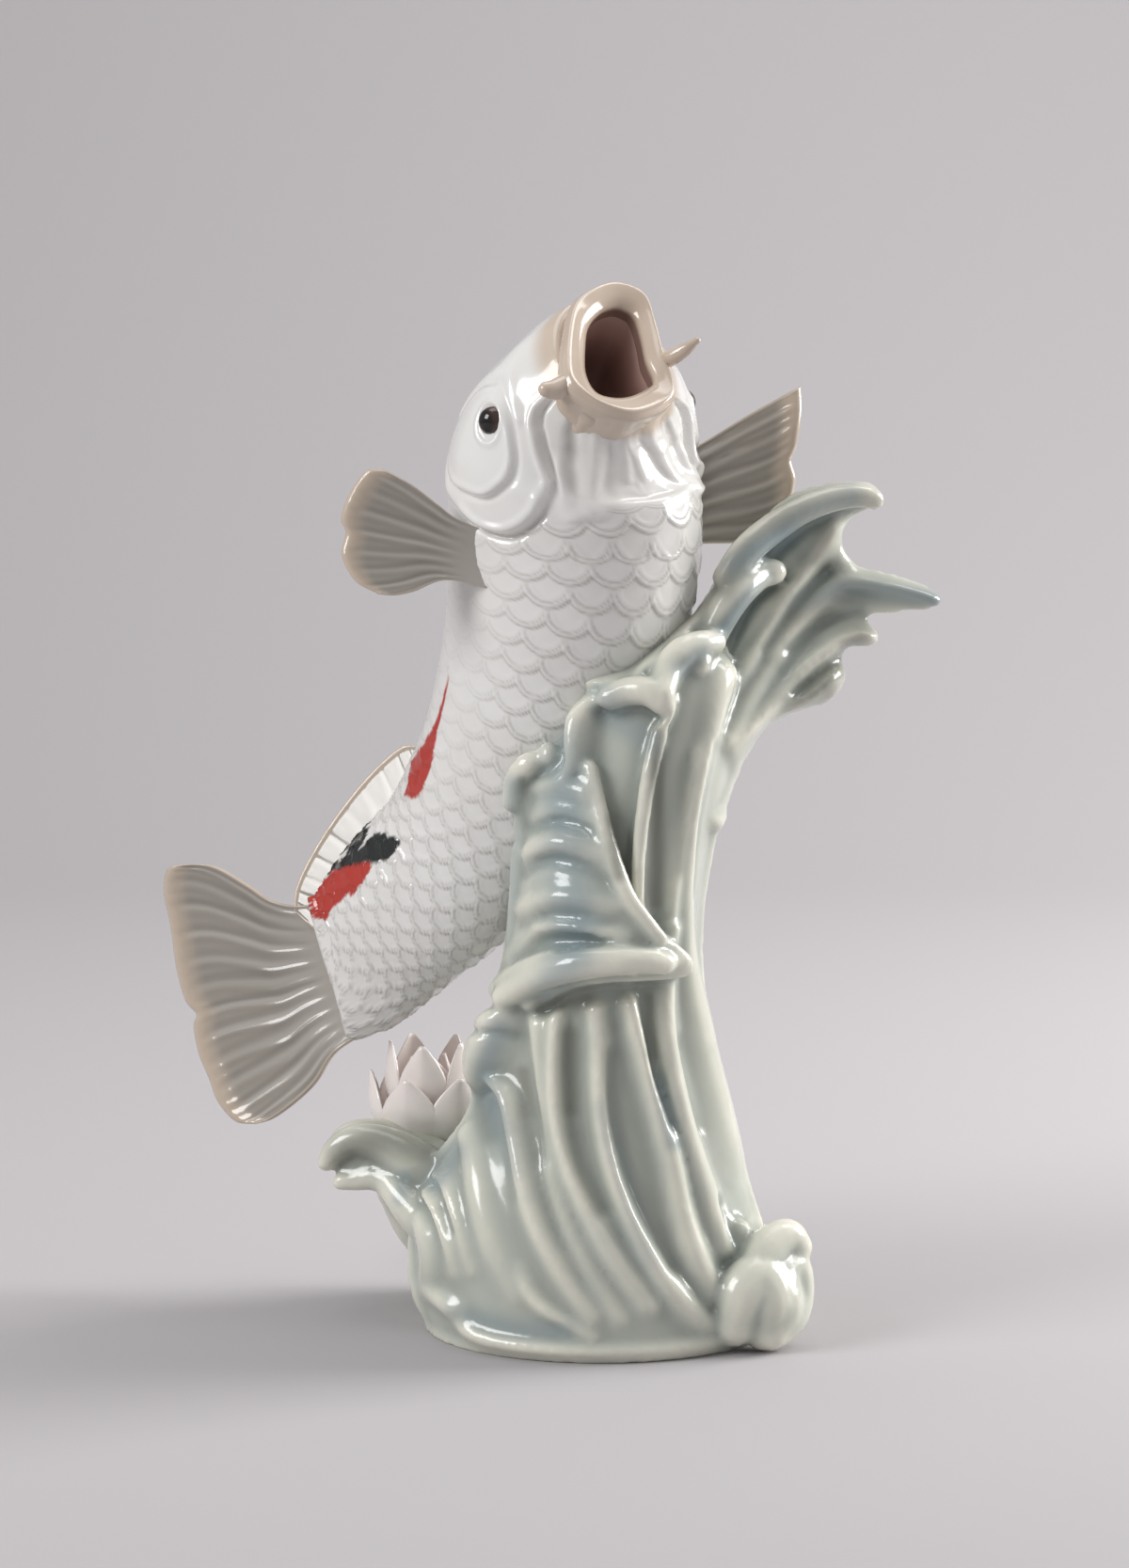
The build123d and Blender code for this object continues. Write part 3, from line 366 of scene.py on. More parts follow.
koi = {
    "length": 300, "height": 92, "width": 86, "seat": (-30.5, 21, 198.8),
    "spine": [(-0.223, 0.067, -0.256), (-0.187, 0.057, -0.242), (-0.131, 0.043, -0.181),
              (-0.057, 0.020, -0.104), (0, 0, 0), (0.040, -0.013, 0.107), (0.063, -0.023, 0.196),
              (0.071, -0.033, 0.285), (0.073, -0.050, 0.373), (0.093, -0.088, 0.439),
              (0.115, -0.131, 0.483)],
    "girth": [(0.290, 0.050), (0.300, 0.140), (0.348, 0.233), (0.370, 0.302), (0.402, 0.360),
              (0.446, 0.419), (0.489, 0.477), (0.500, 0.500), (0.467, 0.488), (0.345, 0.395),
              (0.293, 0.244)],
    "back": [(-0.31, 0.20, 0.93), (-0.34, 0.26, 0.90), (-0.44, 0.42, 0.78), (-0.58, 0.52, 0.60),
             (-0.68, 0.58, 0.42), (-0.72, 0.62, 0.30), (-0.73, 0.66, 0.18), (-0.71, 0.69, 0.12),
             (-0.62, 0.72, 0.28), (-0.42, 0.68, 0.60), (-0.157, 0.556, 0.817)],
    "rings": 345, "sides": 276,
    "headRings": 0.35,  # how much closer the rings lie on the head
    "scaleColumns": 18, "scalePitch": 0.60, "scaleSize": 0.585, "scaleBase": 0.16, "scaleDome": 0.18,
    # height, place from the middle of the scale out to its edge, width
    "scaleRim": (0.62, 0.91, 0.075), "scaleRing": (0.34, 0.66, 0.06),
    "scaleGroove": (0.8, 0.79, 0.05), "scaleLine": (1.0, 1.03, 0.05),
    "rowLength": 25, "degreeLength": 0.75,  # millimetres over the skin
    # row of the spine at which the scales end, by the angle from the flank to the back
    "headEdge": [(-90, 8.42), (-79, 8.32), (-61, 7.61), (-50, 7.45), (-37, 7.48), (-30, 7.5), (-14, 7.16),
                 (1, 7.15), (13, 7.32), (30, 7.7), (60, 8.0), (90, 8.1)],
    # outlines and lines on the skin: row of the spine, angle
    "gillCover": [(7.55, 26), (7.38, 12.8), (7.21, 1.2), (7.2, -14.5), (7.54, -30), (8.23, -41),
                  (8.52, -41.5), (8.94, -33), (9.4, -24), (10.4, -20), (10.4, 50), (8.4, 50), (7.9, 38)],
    "cheek": [(7.72, 16), (7.70, 5.8), (7.73, -8), (8.08, -19), (8.5, -22.5), (8.84, -16), (9.06, -6),
              (9.12, 6), (8.95, 16), (8.7, 24), (8.3, 28), (7.9, 26)],
    "throat": [(7.5, -36), (7.45, -50.5), (7.61, -60.8), (8.32, -79), (8.42, -95), (10.4, -95), (10.4, -38),
               (8.5, -44)],
    # folds of the throat: line, height, width
    "folds": [([(9.56, -47.5), (9.0, -52.5), (8.5, -53.5), (7.75, -48.5)], -2.0, 4.2),
              ([(9.74, -66.2), (9.14, -67.8), (8.6, -65.2), (7.7, -54)], 1.1, 3.2),
              ([(9.7, -78), (9.0, -77), (8.55, -71.5), (7.8, -60)], -0.9, 2.4),
              ([(9.87, -90), (9.24, -88), (8.7, -85)], 0.8, 2.6)],
    "brow": [(8.3, 34), (8.8, 30), (9.26, 13), (9.2, -4), (9.05, -17)], "browHeight": 0.9, "browWidth": 2.6,
    # the step at an outline: rise, from, to; then height, place and width of the ridge in from it and of
    # the groove out from it
    "gillStep": (2.3, -0.7, 1.0, 1.0, 2.2, 1.7, 1.3, -1.5, 1.3),
    "cheekStep": (1.7, -0.6, 0.9, 0.5, 1.6, 1.2, 0.7, -1.3, 1.1),
    "throatStep": (1.1, -1.6, 1.6, 0.7, 2.6, 2.2, 0.5, -2.4, 1.8),
    "eye": (8.7, -1.5), "eyeSize": (5.2, 5.0, 4.8), "eyeLift": 2.3,
    "socketRidge": (0.8, 6.8, 1.2), "socketGroove": (0.5, 5.2, 0.8), "calmRounds": 60,
    # brush marks: how fine, how large; softness of a painted edge
    "brush": [(0.35, 0.9), (0.8, 0.6), (1.7, 0.4)], "brushed": 0.45, "paintEdge": 0.45,
    "red": [[(4.86, 29.5), (4.49, 28), (3.98, 34.2), (3.55, 47.8), (3.4, 40), (3.21, 35.2), (3.38, 20.5),
             (4.06, 25.2), (4.62, 24.8)],
            [(0, 63), (0.0, 120), (0.9, 118), (1.52, 105), (1.52, 69.8), (1.79, 64.2), (2.15, 29.8),
             (2.17, 22.8), (1.91, 20), (1.38, 31.8), (0.17, 40.2)]],
    "black": [[(1.85, 100), (1.75, 75), (1.93, 55), (2.18, 44), (2.46, 40.5), (2.60, 28), (2.73, 17.8),
               (2.59, 15.2), (2.35, 20), (2.01, 38), (1.7, 62), (1.55, 88)],
              [(2.1, 95), (2.35, 70), (2.3, 52), (2.2, 46), (2.0, 56), (1.9, 80)]],
}
koiSpine = np.array(koi["spine"]) * koi["length"] + np.array(koi["seat"])
koiGirth = np.array(koi["girth"]) * (koi["height"], koi["width"])
mouthRow = len(koi["spine"]) - 1


def koiFrame(u):  # middle, way to the head, way to the back, way to the right, half height and width
    ahead, behind = (alongRows(koiSpine, np.clip(u + step, 0, mouthRow)) for step in (1e-3, -1e-3))
    facing = unit(ahead - behind)
    back = alongRows(koi["back"], u)
    back = unit(back - facing * (back * facing).sum(-1, keepdims=True))
    return alongRows(koiSpine, u), facing, back, np.cross(facing, back), alongRows(koiGirth, u)


def koiSkin(u, angle, lift=0.0):  # angle turns from the right flank up to the back
    middle, _, back, right, girth = koiFrame(u)
    high, wide = girth[..., :1], girth[..., 1:]
    sine, cosine = np.sin(angle)[..., None], np.cos(angle)[..., None]
    normal = unit(back * sine / high + right * cosine / wide)
    return middle + back * high * sine + right * wide * cosine + normal * np.asarray(lift)[..., None]


def skinAt(row, degrees, lift=0.0):  # one point of the skin
    return koiSkin(np.array(float(row)), np.array(math.radians(degrees)), lift)


def ridge(x, height, place, width):
    return height * bump(x - place, width)


def scaleRelief(u, angle):  # height of the scales, and how much of a line shows
    fine = np.linspace(0, mouthRow, 801)
    middle, _, _, _, girth = koiFrame(fine)
    wide = 2 * math.pi * np.sqrt((girth**2).mean(-1)) / koi["scaleColumns"]
    size = (wide[1:] + wide[:-1]) / 2
    step = np.linalg.norm(np.diff(middle, axis=0), axis=1) / (koi["scalePitch"] * size)
    rowOf = np.interp(u, fine, np.concatenate([[0], np.cumsum(step)]))
    columnOf = (angle - math.pi / 2) / (2 * math.pi) * koi["scaleColumns"]
    height, line = np.zeros_like(u), np.zeros_like(u)
    for offset in (-1, 0, 1, 2):  # a row nearer the head lies over the one before
        row = np.floor(rowOf) + offset
        across = np.mod(columnOf - 0.5 * np.mod(row, 2) + 0.5, 1) - 0.5
        along = (rowOf - row) * koi["scalePitch"]
        reach = np.hypot(across, along * 1.05) / koi["scaleSize"]
        tailward = smooth(0.15, -0.35, along / koi["scaleSize"])
        dome = koi["scaleBase"] + koi["scaleDome"] * smooth(0.2, 0.95, reach) * tailward
        dome += ridge(reach, *koi["scaleRim"]) + tailward * ridge(reach, *koi["scaleRing"])
        height = np.where(reach < 1, dome, height)
        groove = tailward * ridge(reach, *koi["scaleGroove"]) + ridge(reach, *koi["scaleLine"])
        line = np.where(reach < 1, groove, np.maximum(line, groove * (reach < 1.12)))
    return height, line


def skinPlace(u, angle):  # rows and degrees as millimetres over the skin, both flanks alike
    return np.asarray(u, float) * koi["rowLength"], np.asarray(angle, float) * koi["degreeLength"]


def insideOutline(u, angle, outline):
    corners = np.stack(skinPlace(*np.array(outline, float).T), -1)
    return insideLoop(*skinPlace(u, angle), closedLine(corners))


def fromLine(u, angle, line):
    x, y = skinPlace(u, angle)
    fine = alongRows(line, np.linspace(0, len(line) - 1, 8 * len(line)))
    places = np.stack(skinPlace(*fine.T), -1)
    return np.minimum.reduce([toSegment(x, y, a, b)[1] for a, b in zip(places[:-1], places[1:])])


def raised(inside, step):  # a step at an outline, with a ridge in from it and a groove out from it
    rise, low, high = step[:3]
    return rise * smooth(low, high, inside) + ridge(inside, *step[3:6]) - ridge(inside, *step[6:])


def headRelief(u, fold):  # each part fades out in its own band of degrees and of rows
    snout = smooth(mouthRow, 9.3, u)
    gill, cheek, throat = (insideOutline(u, fold, koi[name]) for name in ("gillCover", "cheek", "throat"))
    relief = raised(gill, koi["gillStep"]) * smooth(46, 22, fold) * snout
    relief += raised(cheek, koi["cheekStep"]) * smooth(34, 12, fold) * smooth(9.2, 8.9, u)
    fade = smooth(-38, -48, fold) * smooth(8.75, 8.45, u + 0.004 * fold)
    relief += raised(throat, koi["throatStep"]) * fade
    for line, tall, wide in koi["folds"]:
        relief += tall * bump(fromLine(u, fold, line), wide) * snout * smooth(0.5, 7, throat)
    relief += koi["browHeight"] * bump(fromLine(u, fold, koi["brow"]), koi["browWidth"]) * snout
    x, y = skinPlace(u, fold)
    eyeX, eyeY = skinPlace(*koi["eye"])
    away = np.hypot(x - eyeX, y - eyeY)
    return relief + ridge(away, *koi["socketRidge"]) - ridge(away, *koi["socketGroove"])


def brushed(u, angle, seed):  # ragged edge of a painted patch, in millimetres
    x, y = skinPlace(u, angle)
    random = np.random.default_rng(seed)
    total = np.zeros_like(x)
    for scale, size in koi["brush"]:
        for _ in range(3):
            way, phase = random.uniform(0, math.pi), random.uniform(0, 6.3)
            total += size * np.sin(scale * (x * math.cos(way) * 0.5 + y * math.sin(way) * 1.4) + phase)
    return total


def painted(u, angle, outlines, seed):
    patch, edge = np.zeros_like(u), koi["paintEdge"]
    for outline in outlines:
        inside = insideOutline(u, angle, outline) + brushed(u, angle, seed) * koi["brushed"]
        patch = np.maximum(patch, smooth(-edge, edge, inside))
    return patch


mouth = {  # outlines as they show in the photo's frame, with their height over the mouth's plane
    "outer": [(655, 300), (628, 306), (607, 322), (599, 350), (596, 385), (600, 410), (622, 428),
              (650, 442), (675, 447), (700, 440), (716, 428), (717, 412), (706, 378), (697, 345),
              (685, 313)],
    "inner": [(652, 328), (637, 334), (625, 350), (622, 375), (623, 398), (632, 417), (648, 423),
              (668, 422), (688, 413), (694, 405), (686, 383), (681, 360), (674, 338), (664, 330)],
    "outerHeight": 5.0, "innerHeight": 3.0, "around": 160,
    # share of the way from the outer to the inner outline, size of the outline, height
    "rimProfile": [(0.05, 0.90, -9), (0.0, 0.92, -3.5), (0.0, 0.965, 1.0), (0.0, 0.985, 4.4),
                   (0.07, 0.98, 6.2), (0.22, 1.0, 7.3), (0.5, 1.0, 6.6), (0.8, 1.0, 5.2), (1.0, 1.0, 3.0),
                   (1.0, 1.03, 0.0), (1.0, 1.03, -5), (0.85, 1.0, -9), (0.4, 1.0, -10)],
    "liningProfile": [(1.0, 1.05, 1.5), (1.0, 1.03, -2), (1.0, 1.0, -10), (1.0, 0.94, -20),
                      (1.0, 0.80, -30), (1.0, 0.46, -36), (1.0, 0.04, -38)],
    "liningWall": 1.2, "floorFold": 6.5,
    "turnedIn": [(1.34, 1.5), (1.26, 8), (1.24, 18), (1.16, 30), (0.9, 40), (0.5, 44)],  # size, depth
}
mouthMiddle, mouthFacing, mouthBack, mouthRight = koiFrame(np.array(float(mouthRow)))[:4]


def mouthPlace(flat, height):  # from a place on the mouth's plane and a height over it
    return mouthMiddle + mouthBack * flat[:, :1] + mouthRight * flat[:, 1:] + mouthFacing * height


def mouthOutline(places, height):  # an outline in the photo, brought to the mouth's plane
    rays = sightLine(*np.array(places).T)
    reach = ((mouthMiddle + mouthFacing * height - viewPlace) @ mouthFacing) / (rays @ mouthFacing)
    offset = viewPlace + rays * reach[:, None] - mouthMiddle
    corners = np.stack([offset @ mouthBack, offset @ mouthRight], -1)
    fine = closedLine(corners, 40)
    across, down = (fine - corners.mean(0)).T
    return onLoop(fullTurn(mouth["around"]), np.arctan2(down, across), fine)


outerLip = mouthOutline(mouth["outer"], mouth["outerHeight"])
innerLip = mouthOutline(mouth["inner"], mouth["innerHeight"])


def mouthRings(profile, curve, steps):
    rows = curve(np.array(profile, float), steps)
    centre = innerLip.mean(0)
    rings = []
    for part, size, height in rows:
        flat = centre + ((outerLip * (1 - part) + innerLip * part) - centre) * size
        rings.append(mouthPlace(flat, height))
    return np.array(rings), rows


def koiRows():  # places of the rings, closer together on the head
    fine = np.linspace(0, mouthRow, 2001)
    run = np.linalg.norm(np.diff(koiFrame(fine)[0], axis=0), axis=1)
    run *= 1 + koi["headRings"] * smooth(7.0, 7.4, fine[1:])
    weight = np.concatenate([[0], np.cumsum(run)])
    return np.interp(np.linspace(0, weight[-1], koi["rings"]), weight, fine)


def turnedIn(u, angle):  # rings that turn in at the front and go down into the mouth
    ring = koiSkin(u, angle) - mouthMiddle
    turn = np.arctan2(ring @ mouthRight, ring @ mouthBack)
    lip = onLoop(turn, fullTurn(mouth["around"]), innerLip)
    centre = innerLip.mean(0)
    rings = [mouthMiddle + ring * 0.9 - mouthFacing * 0.3]
    for size, depth in mouth["turnedIn"]:
        rings.append(mouthPlace(centre + (lip - centre) * size, -depth))
    return np.array(rings)


def buildKoi():
    rows, sides = koiRows(), koi["sides"]
    u, angle = np.meshgrid(rows, fullTurn(sides), indexing="ij")
    fold = np.degrees(np.arcsin(np.clip(np.sin(angle), -1, 1)))
    spread = np.linalg.norm(np.gradient(koiSkin(u, angle), axis=0), axis=-1)  # of the rings, 1 on the spine
    spread /= np.linalg.norm(np.gradient(koiFrame(rows)[0], axis=0), axis=-1)[:, None]
    room = 1 - smooth(0.65, 0.3, spread) * smooth(-30, -50, fold)  # none in the tight bend of the throat
    covered = smooth(0.05, -0.2, u - np.interp(fold, *np.array(koi["headEdge"]).T)) * room
    faint = 1 - 0.8 * smooth(-30, 20, fold) * smooth(2.8, 4.6, u)
    scales, lines = scaleRelief(u, angle)
    head = headRelief(u, fold)
    points = koiSkin(u, angle, scales * covered * faint * smooth(0.0, 0.35, u) + head * room)
    calm = 0.5 * (smooth(0.85, 0.5, spread) * smooth(-25, -45, fold))[1:-1, :, None]
    for _ in range(koi["calmRounds"]):  # the skin is drawn smooth where the rings crowd
        points[1:-1] += calm * (points[2:] + points[:-2] - 2 * points[1:-1])
    shape = np.concatenate([points, turnedIn(u[-1], angle[-1])])
    last = (len(shape) - 1) * sides
    tail = last + sides  # one point closes the root of the tail
    faces = tubeFaces(len(shape), sides) + [[tail, (j + 1) % sides, j] for j in range(sides)]
    faces.append(list(range(last, tail)))
    piece = makePiece("koiBody", np.vstack([shape.reshape(-1, 3), koiSpine[:1]]), faces, "koiGlaze")
    degrees = np.degrees(angle)
    # the first layer is painted shade in the scale grooves and in the head relief's low places
    for name, values, inside in (
            ("grooveShade", covered * faint * lines * 0.75 + 0.7 * smooth(-0.2, -2.2, head), 0),
            ("redPaint", painted(u, degrees, koi["red"], 3), 0),
            ("blackPaint", painted(u, degrees, koi["black"], 5), 0),
            ("beige", smooth(9.55, 9.86, u + 0.08 * smooth(-10, -45, fold)), 1)):
        paint(piece, name, np.concatenate([values.ravel(), np.full(tail + 1 - values.size, inside)]))
    settle(piece, "white_glaze", "fish_body")


def buildMouth():
    around = mouth["around"]
    shape, rows = mouthRings(mouth["rimProfile"], closedLine, 4)
    lips = makePiece("koiLips", shape.reshape(-1, 3), tubeFaces(len(shape), around, True), "lipGlaze")
    paint(lips, "inner", np.repeat(smooth(0.8, 1.0, rows[:, 0]) * smooth(4.2, 0.5, rows[:, 2]), around))
    settle(lips, "white_glaze", "lips")

    shape, rows = mouthRings(mouth["liningProfile"], fineLine, 5)
    offset = shape - mouthMiddle  # for the fold on the mouth's floor
    swell = smooth(-2, -12, offset @ mouthBack) * smooth(-3, 3, offset @ mouthRight)
    swell *= mouth["floorFold"] * bump(offset @ mouthFacing + 6, 6.5)
    shape = shape + mouthBack * swell[..., None]
    outside = shape + (unit(shape - shape.mean(1, keepdims=True)) - mouthFacing) * mouth["liningWall"]
    body = np.concatenate([shape, outside[::-1]])
    faces = tubeFaces(len(body), around, True)
    lining = makePiece("mouthLining", body.reshape(-1, 3), faces, "liningGlaze")
    # deep: painted shade, growing further down into the mouth
    deep = smooth(1, -24, np.repeat(rows[:, 2:], around, 1))
    for name, values in (("deep", deep), ("pink", smooth(1.5, 4.0, swell))):
        paint(lining, name, np.concatenate([values, values[::-1]]))
    settle(lining, "mouth_glaze", "mouth_cup")


def buildEye(name, node, right):
    row, degrees = koi["eye"]
    degrees = degrees if right else 180 - degrees
    skin = skinAt(row, degrees)
    out = skinAt(row, degrees, 1.0) - skin
    facing = koiFrame(np.array(row))[1]
    up = np.cross(facing, out)
    bpy.ops.mesh.primitive_uv_sphere_add(segments=48, ring_count=32, radius=1)
    eye = bpy.context.object
    eye.name = eye.data.name = name
    ball = readBack(eye.data.vertices, "co", 3) * koi["eyeSize"]
    place = skin + out * koi["eyeLift"] + facing * ball[:, :1] + up * ball[:, 1:2] + out * ball[:, 2:]
    eye.data.vertices.foreach_set("co", (place * mm).ravel())
    outward(eye)
    bpy.ops.object.shade_smooth()
    eye.select_set(False)
    eye.data.materials.append(finish["eyeGlaze"])
    paint(eye, "iris", smooth(0.7, 0.95, np.hypot(ball[:, 0], ball[:, 1]) / koi["eyeSize"][0]))
    settle(eye, "eye_glaze", node)


barbels = {  # node, places in the photo with their depth, radius at each
    "barbelRight": ("barbel_right", [(612, 404, -35), (603, 408, -38), (591, 414, -41), (580, 414, -43)],
                    [3.0, 3.6, 3.7, 2.6]),
    "barbelLeft": ("barbel_left", [(700, 386, -14), (714, 380, -20), (729, 371, -23), (741, 362, -24)],
                   [3.0, 2.9, 2.3, 1.2]),
}


def buildBarbel(name, node, places, radii):
    points = [atDepth(*place) for place in places]
    form = tube(points, radii, sides=24, steps=10)
    barbel = makePiece(name, *form, "lipGlaze")
    fromRoot = np.linalg.norm(form[0] - points[0], axis=1)
    # inner at the root is painted shade where the barbel meets the lip
    paint(barbel, "inner", smooth(5.0, 1.5, fromRoot) * 0.55)
    settle(barbel, "white_glaze", node)


buildKoi()
buildMouth()
buildEye("eyeRight", "eye_right", True)
buildEye("eyeLeft", "eye_left", False)
for name, parts in barbels.items():
    buildBarbel(name, *parts)
print("koi done")


# Fins. Edges hold the reach and the place across as shares of the fin's reach and spread, and the rim runs
# from one edge to the other. "root" is the fin's breadth at the root and past it, and how far it bows.

fins = {
    "tail": {
        "name": "tailFin", "node": "tail_fin", "reach": 63, "spread": 100, "root": (0.26, 0.66, 0.12),
        "first": [(-0.12, 0.235), (0.07, 0.25), (0.22, 0.30), (0.33, 0.385), (0.48, 0.485), (0.66, 0.53)],
        "rim": [(0.66, 0.53), (0.78, 0.535), (0.86, 0.46), (0.90, 0.33), (0.955, 0.18), (0.965, 0.06),
                (0.925, 0.00), (0.965, -0.04), (0.985, -0.14), (0.965, -0.24), (0.95, -0.33), (0.87, -0.42),
                (0.74, -0.455)],
        "last": [(-0.12, -0.265), (0.12, -0.30), (0.29, -0.38), (0.45, -0.425), (0.62, -0.455),
                 (0.74, -0.455)],
        "rays": 13, "rayStart": 0.10, "rayHeight": 0.55, "thick": 1.5, "flow": 0.7, "rolled": 0.9,
        "facing": (0.903, -0.248, 0.351),
    },
    "right": {
        "name": "pectoralRight", "node": "pectoral_fin_right",
        "reach": 49, "spread": 44, "root": (0.22, 0.58, 0.10),
        "first": [(-0.18, 0.19), (0.18, 0.22), (0.36, 0.29), (0.58, 0.385), (0.80, 0.44)],
        "rim": [(0.80, 0.44), (0.92, 0.38), (0.985, 0.14), (0.985, -0.03), (0.93, -0.12), (0.915, -0.30),
                (0.78, -0.46), (0.60, -0.51)],
        "last": [(-0.18, -0.23), (0.16, -0.26), (0.36, -0.41), (0.48, -0.48), (0.60, -0.51)],
        "rays": 8, "rayStart": 0.2, "rayHeight": 0.55, "thick": 1.35, "flow": 0.4, "rolled": 0.5,
        "seat": (6.75, 6), "reachWay": (-0.95, -0.12, 0.28), "faceWay": (-0.12, 0.99, -0.02),
    },
    "left": {
        "name": "pectoralLeft", "node": "pectoral_fin_left",
        "reach": 61, "spread": 48, "root": (0.30, 0.58, 0.08),
        "first": [(-0.28, 0.27), (0.20, 0.34), (0.60, 0.46), (0.94, 0.55)],
        "rim": [(0.94, 0.55), (0.90, 0.36), (0.82, 0.14), (0.765, 0.05), (0.755, -0.10), (0.66, -0.28),
                (0.50, -0.39)],
        "last": [(-0.28, -0.27), (0.10, -0.35), (0.32, -0.42), (0.50, -0.39)],
        "rays": 7, "rayStart": 0.16, "rayHeight": 0.6, "thick": 1.35, "flow": 0.4, "rolled": 0.5,
        "seat": (7.1, 186), "reachWay": (0.95, -0.10, 0.30), "faceWay": (-0.10, -0.99, 0.0),
    },
    "dorsal": {
        "name": "dorsalFin", "node": "dorsal_fin", "reach": 21, "spread": 80, "root": (0.56, 0.56, 0.0),
        "first": [(-0.42, 0.44), (0.0, 0.455), (0.30, 0.455)],
        "rim": [(0.30, 0.455), (0.60, 0.40), (0.78, 0.22), (0.83, 0.00), (0.77, -0.22), (0.60, -0.40),
                (0.32, -0.49)],
        "last": [(-0.42, -0.49), (0.0, -0.495), (0.32, -0.49)],
        "rays": 12, "rayStart": 0.35, "rayHeight": 0.22, "thick": 1.3, "flow": 0.2, "rolled": 0.45,
        "seats": [(0.45, 90), (3.1, 90)], "lean": (-0.79, 0.56, 0.25),
    },
}
finSkin = {
    "rows": 70, "columnsPerRay": 15, "fork": (0.45, 0.85), "rayRise": 0.2, "backRays": 0.6,
    # rolled rim and edges: place and width as shares of the fin, then how far they thin out at the end
    "rimPlace": 0.955, "rimWidth": 0.045, "rimThin": 0.96,
    "edgeRoll": 0.4, "edgePlace": 0.012, "edgeWidth": 0.015, "edgeThin": 0.92,
}


def resampled(line, count):
    fine = fineLine(line, 60)
    run = np.concatenate([[0], np.cumsum(np.linalg.norm(np.diff(fine, axis=0), axis=1))])
    even = np.linspace(0, run[-1], count)
    return np.stack([np.interp(even, run, fine[:, k]) for k in (0, 1)], -1)


def finOutline(fin, s, t):  # places between the root, the two edges and the rim
    rows, columns = s.shape
    first, last = (resampled(fin[edge], rows) for edge in ("first", "last"))
    rim = resampled(fin["rim"], columns)
    root = np.linspace(first[0], last[0], columns)
    out, over = s[..., None], t[..., None]
    return ((1 - out) * root[None] + out * rim[None] + (1 - over) * first[:, None] + over * last[:, None]
            - (1 - out) * (1 - over) * root[0] - (1 - out) * over * root[-1]
            - out * (1 - over) * rim[0] - out * over * rim[-1])


def finRays(fin, s, t):
    turn = 2 * math.pi * fin["rays"] * t + fin["flow"] * np.sin(3.2 * s) + 0.9 * np.sin(5 * t + 1)
    split = smooth(*finSkin["fork"], s)  # each ray forks towards the rim
    ray = (1 - 0.55 * split) * np.cos(turn) + 0.45 * split * np.cos(2 * turn + 0.6)
    return ray * (0.75 + 0.25 * np.sin(2.3 * turn / math.pi + 2))


def buildFin(fin, origin, reachWay, faceWay):
    reachWay = unit(np.array(reachWay, float))
    faceWay = np.array(faceWay, float)
    faceWay = unit(faceWay - reachWay * (faceWay @ reachWay))
    acrossWay = np.cross(faceWay, reachWay)
    rows, columns = finSkin["rows"], finSkin["columnsPerRay"] * fin["rays"]
    s, t = np.meshgrid(np.linspace(0, 1, rows), np.linspace(0, 1, columns), indexing="ij")
    reach, across = np.moveaxis(finOutline(fin, s, t), -1, 0)
    ray, edge = finRays(fin, s, t), np.minimum(t, 1 - t)
    start = smooth(fin["rayStart"], fin["rayStart"] + finSkin["rayRise"], s)
    height = fin["rayHeight"] * ray * start * smooth(1.0, 0.9, s) * smooth(0.0, 0.04, edge)
    half = fin["thick"] + fin["rolled"] * bump(s - finSkin["rimPlace"], finSkin["rimWidth"])
    half += finSkin["edgeRoll"] * bump(edge - finSkin["edgePlace"], finSkin["edgeWidth"]) * start
    half *= np.sqrt(np.clip(1 - smooth(0.972, 1.0, s) ** 2 * finSkin["rimThin"], 0, 1))
    half *= np.sqrt(np.clip(1 - (1 - smooth(0.0, 0.016, edge)) ** 2 * finSkin["edgeThin"], 0, 1))
    low, high, bow = fin["root"]
    spread = low + (high - low) * reach
    lean = bow * fin["reach"] * spread / high * (1 - (across / spread) ** 2)
    flat = (np.array(origin) + reachWay * (reach * fin["reach"])[..., None]
            + acrossWay * (across * fin["spread"])[..., None] + faceWay * lean[..., None])
    front = flat + faceWay * (half + height)[..., None]
    behind = flat - faceWay * (half - height * finSkin["backRays"])[..., None]
    shape = np.concatenate([front, behind[:, ::-1]], axis=1)
    piece = makePiece(fin["name"], shape.reshape(-1, 3), leafFaces(rows, columns), "finGlaze")
    # ray carries painted highlight on the ray ridges and painted shade in the grooves between them
    for name, values in (("ray", 0.5 + 0.5 * ray * start), ("root", smooth(0.5, 0.12, s)),
                         ("rim", np.maximum(smooth(0.84, 0.95, s), smooth(0.03, 0.01, edge) * 0.8))):
        paint(piece, name, np.concatenate([values, values[:, ::-1]], axis=1))
    settle(piece, "fin_glaze", fin["node"])


def buildFins():
    facing = unit(np.array(fins["tail"]["facing"]))
    buildFin(fins["tail"], koiSpine[0], -facing, np.cross(koi["back"][0], facing))
    for fin in (fins["right"], fins["left"]):
        buildFin(fin, skinAt(*fin["seat"]), fin["reachWay"], fin["faceWay"])
    tailEnd, headEnd = (skinAt(*seat) for seat in fins["dorsal"]["seats"])
    along, lean = unit(headEnd - tailEnd), np.array(fins["dorsal"]["lean"])
    buildFin(fins["dorsal"], (tailEnd + headEnd) / 2, lean - along * (lean @ along), np.cross(lean, along))


buildFins()
print("fins done")


# Wave. A stroke is a row of places in the photo's frame, each with its height and its width there.

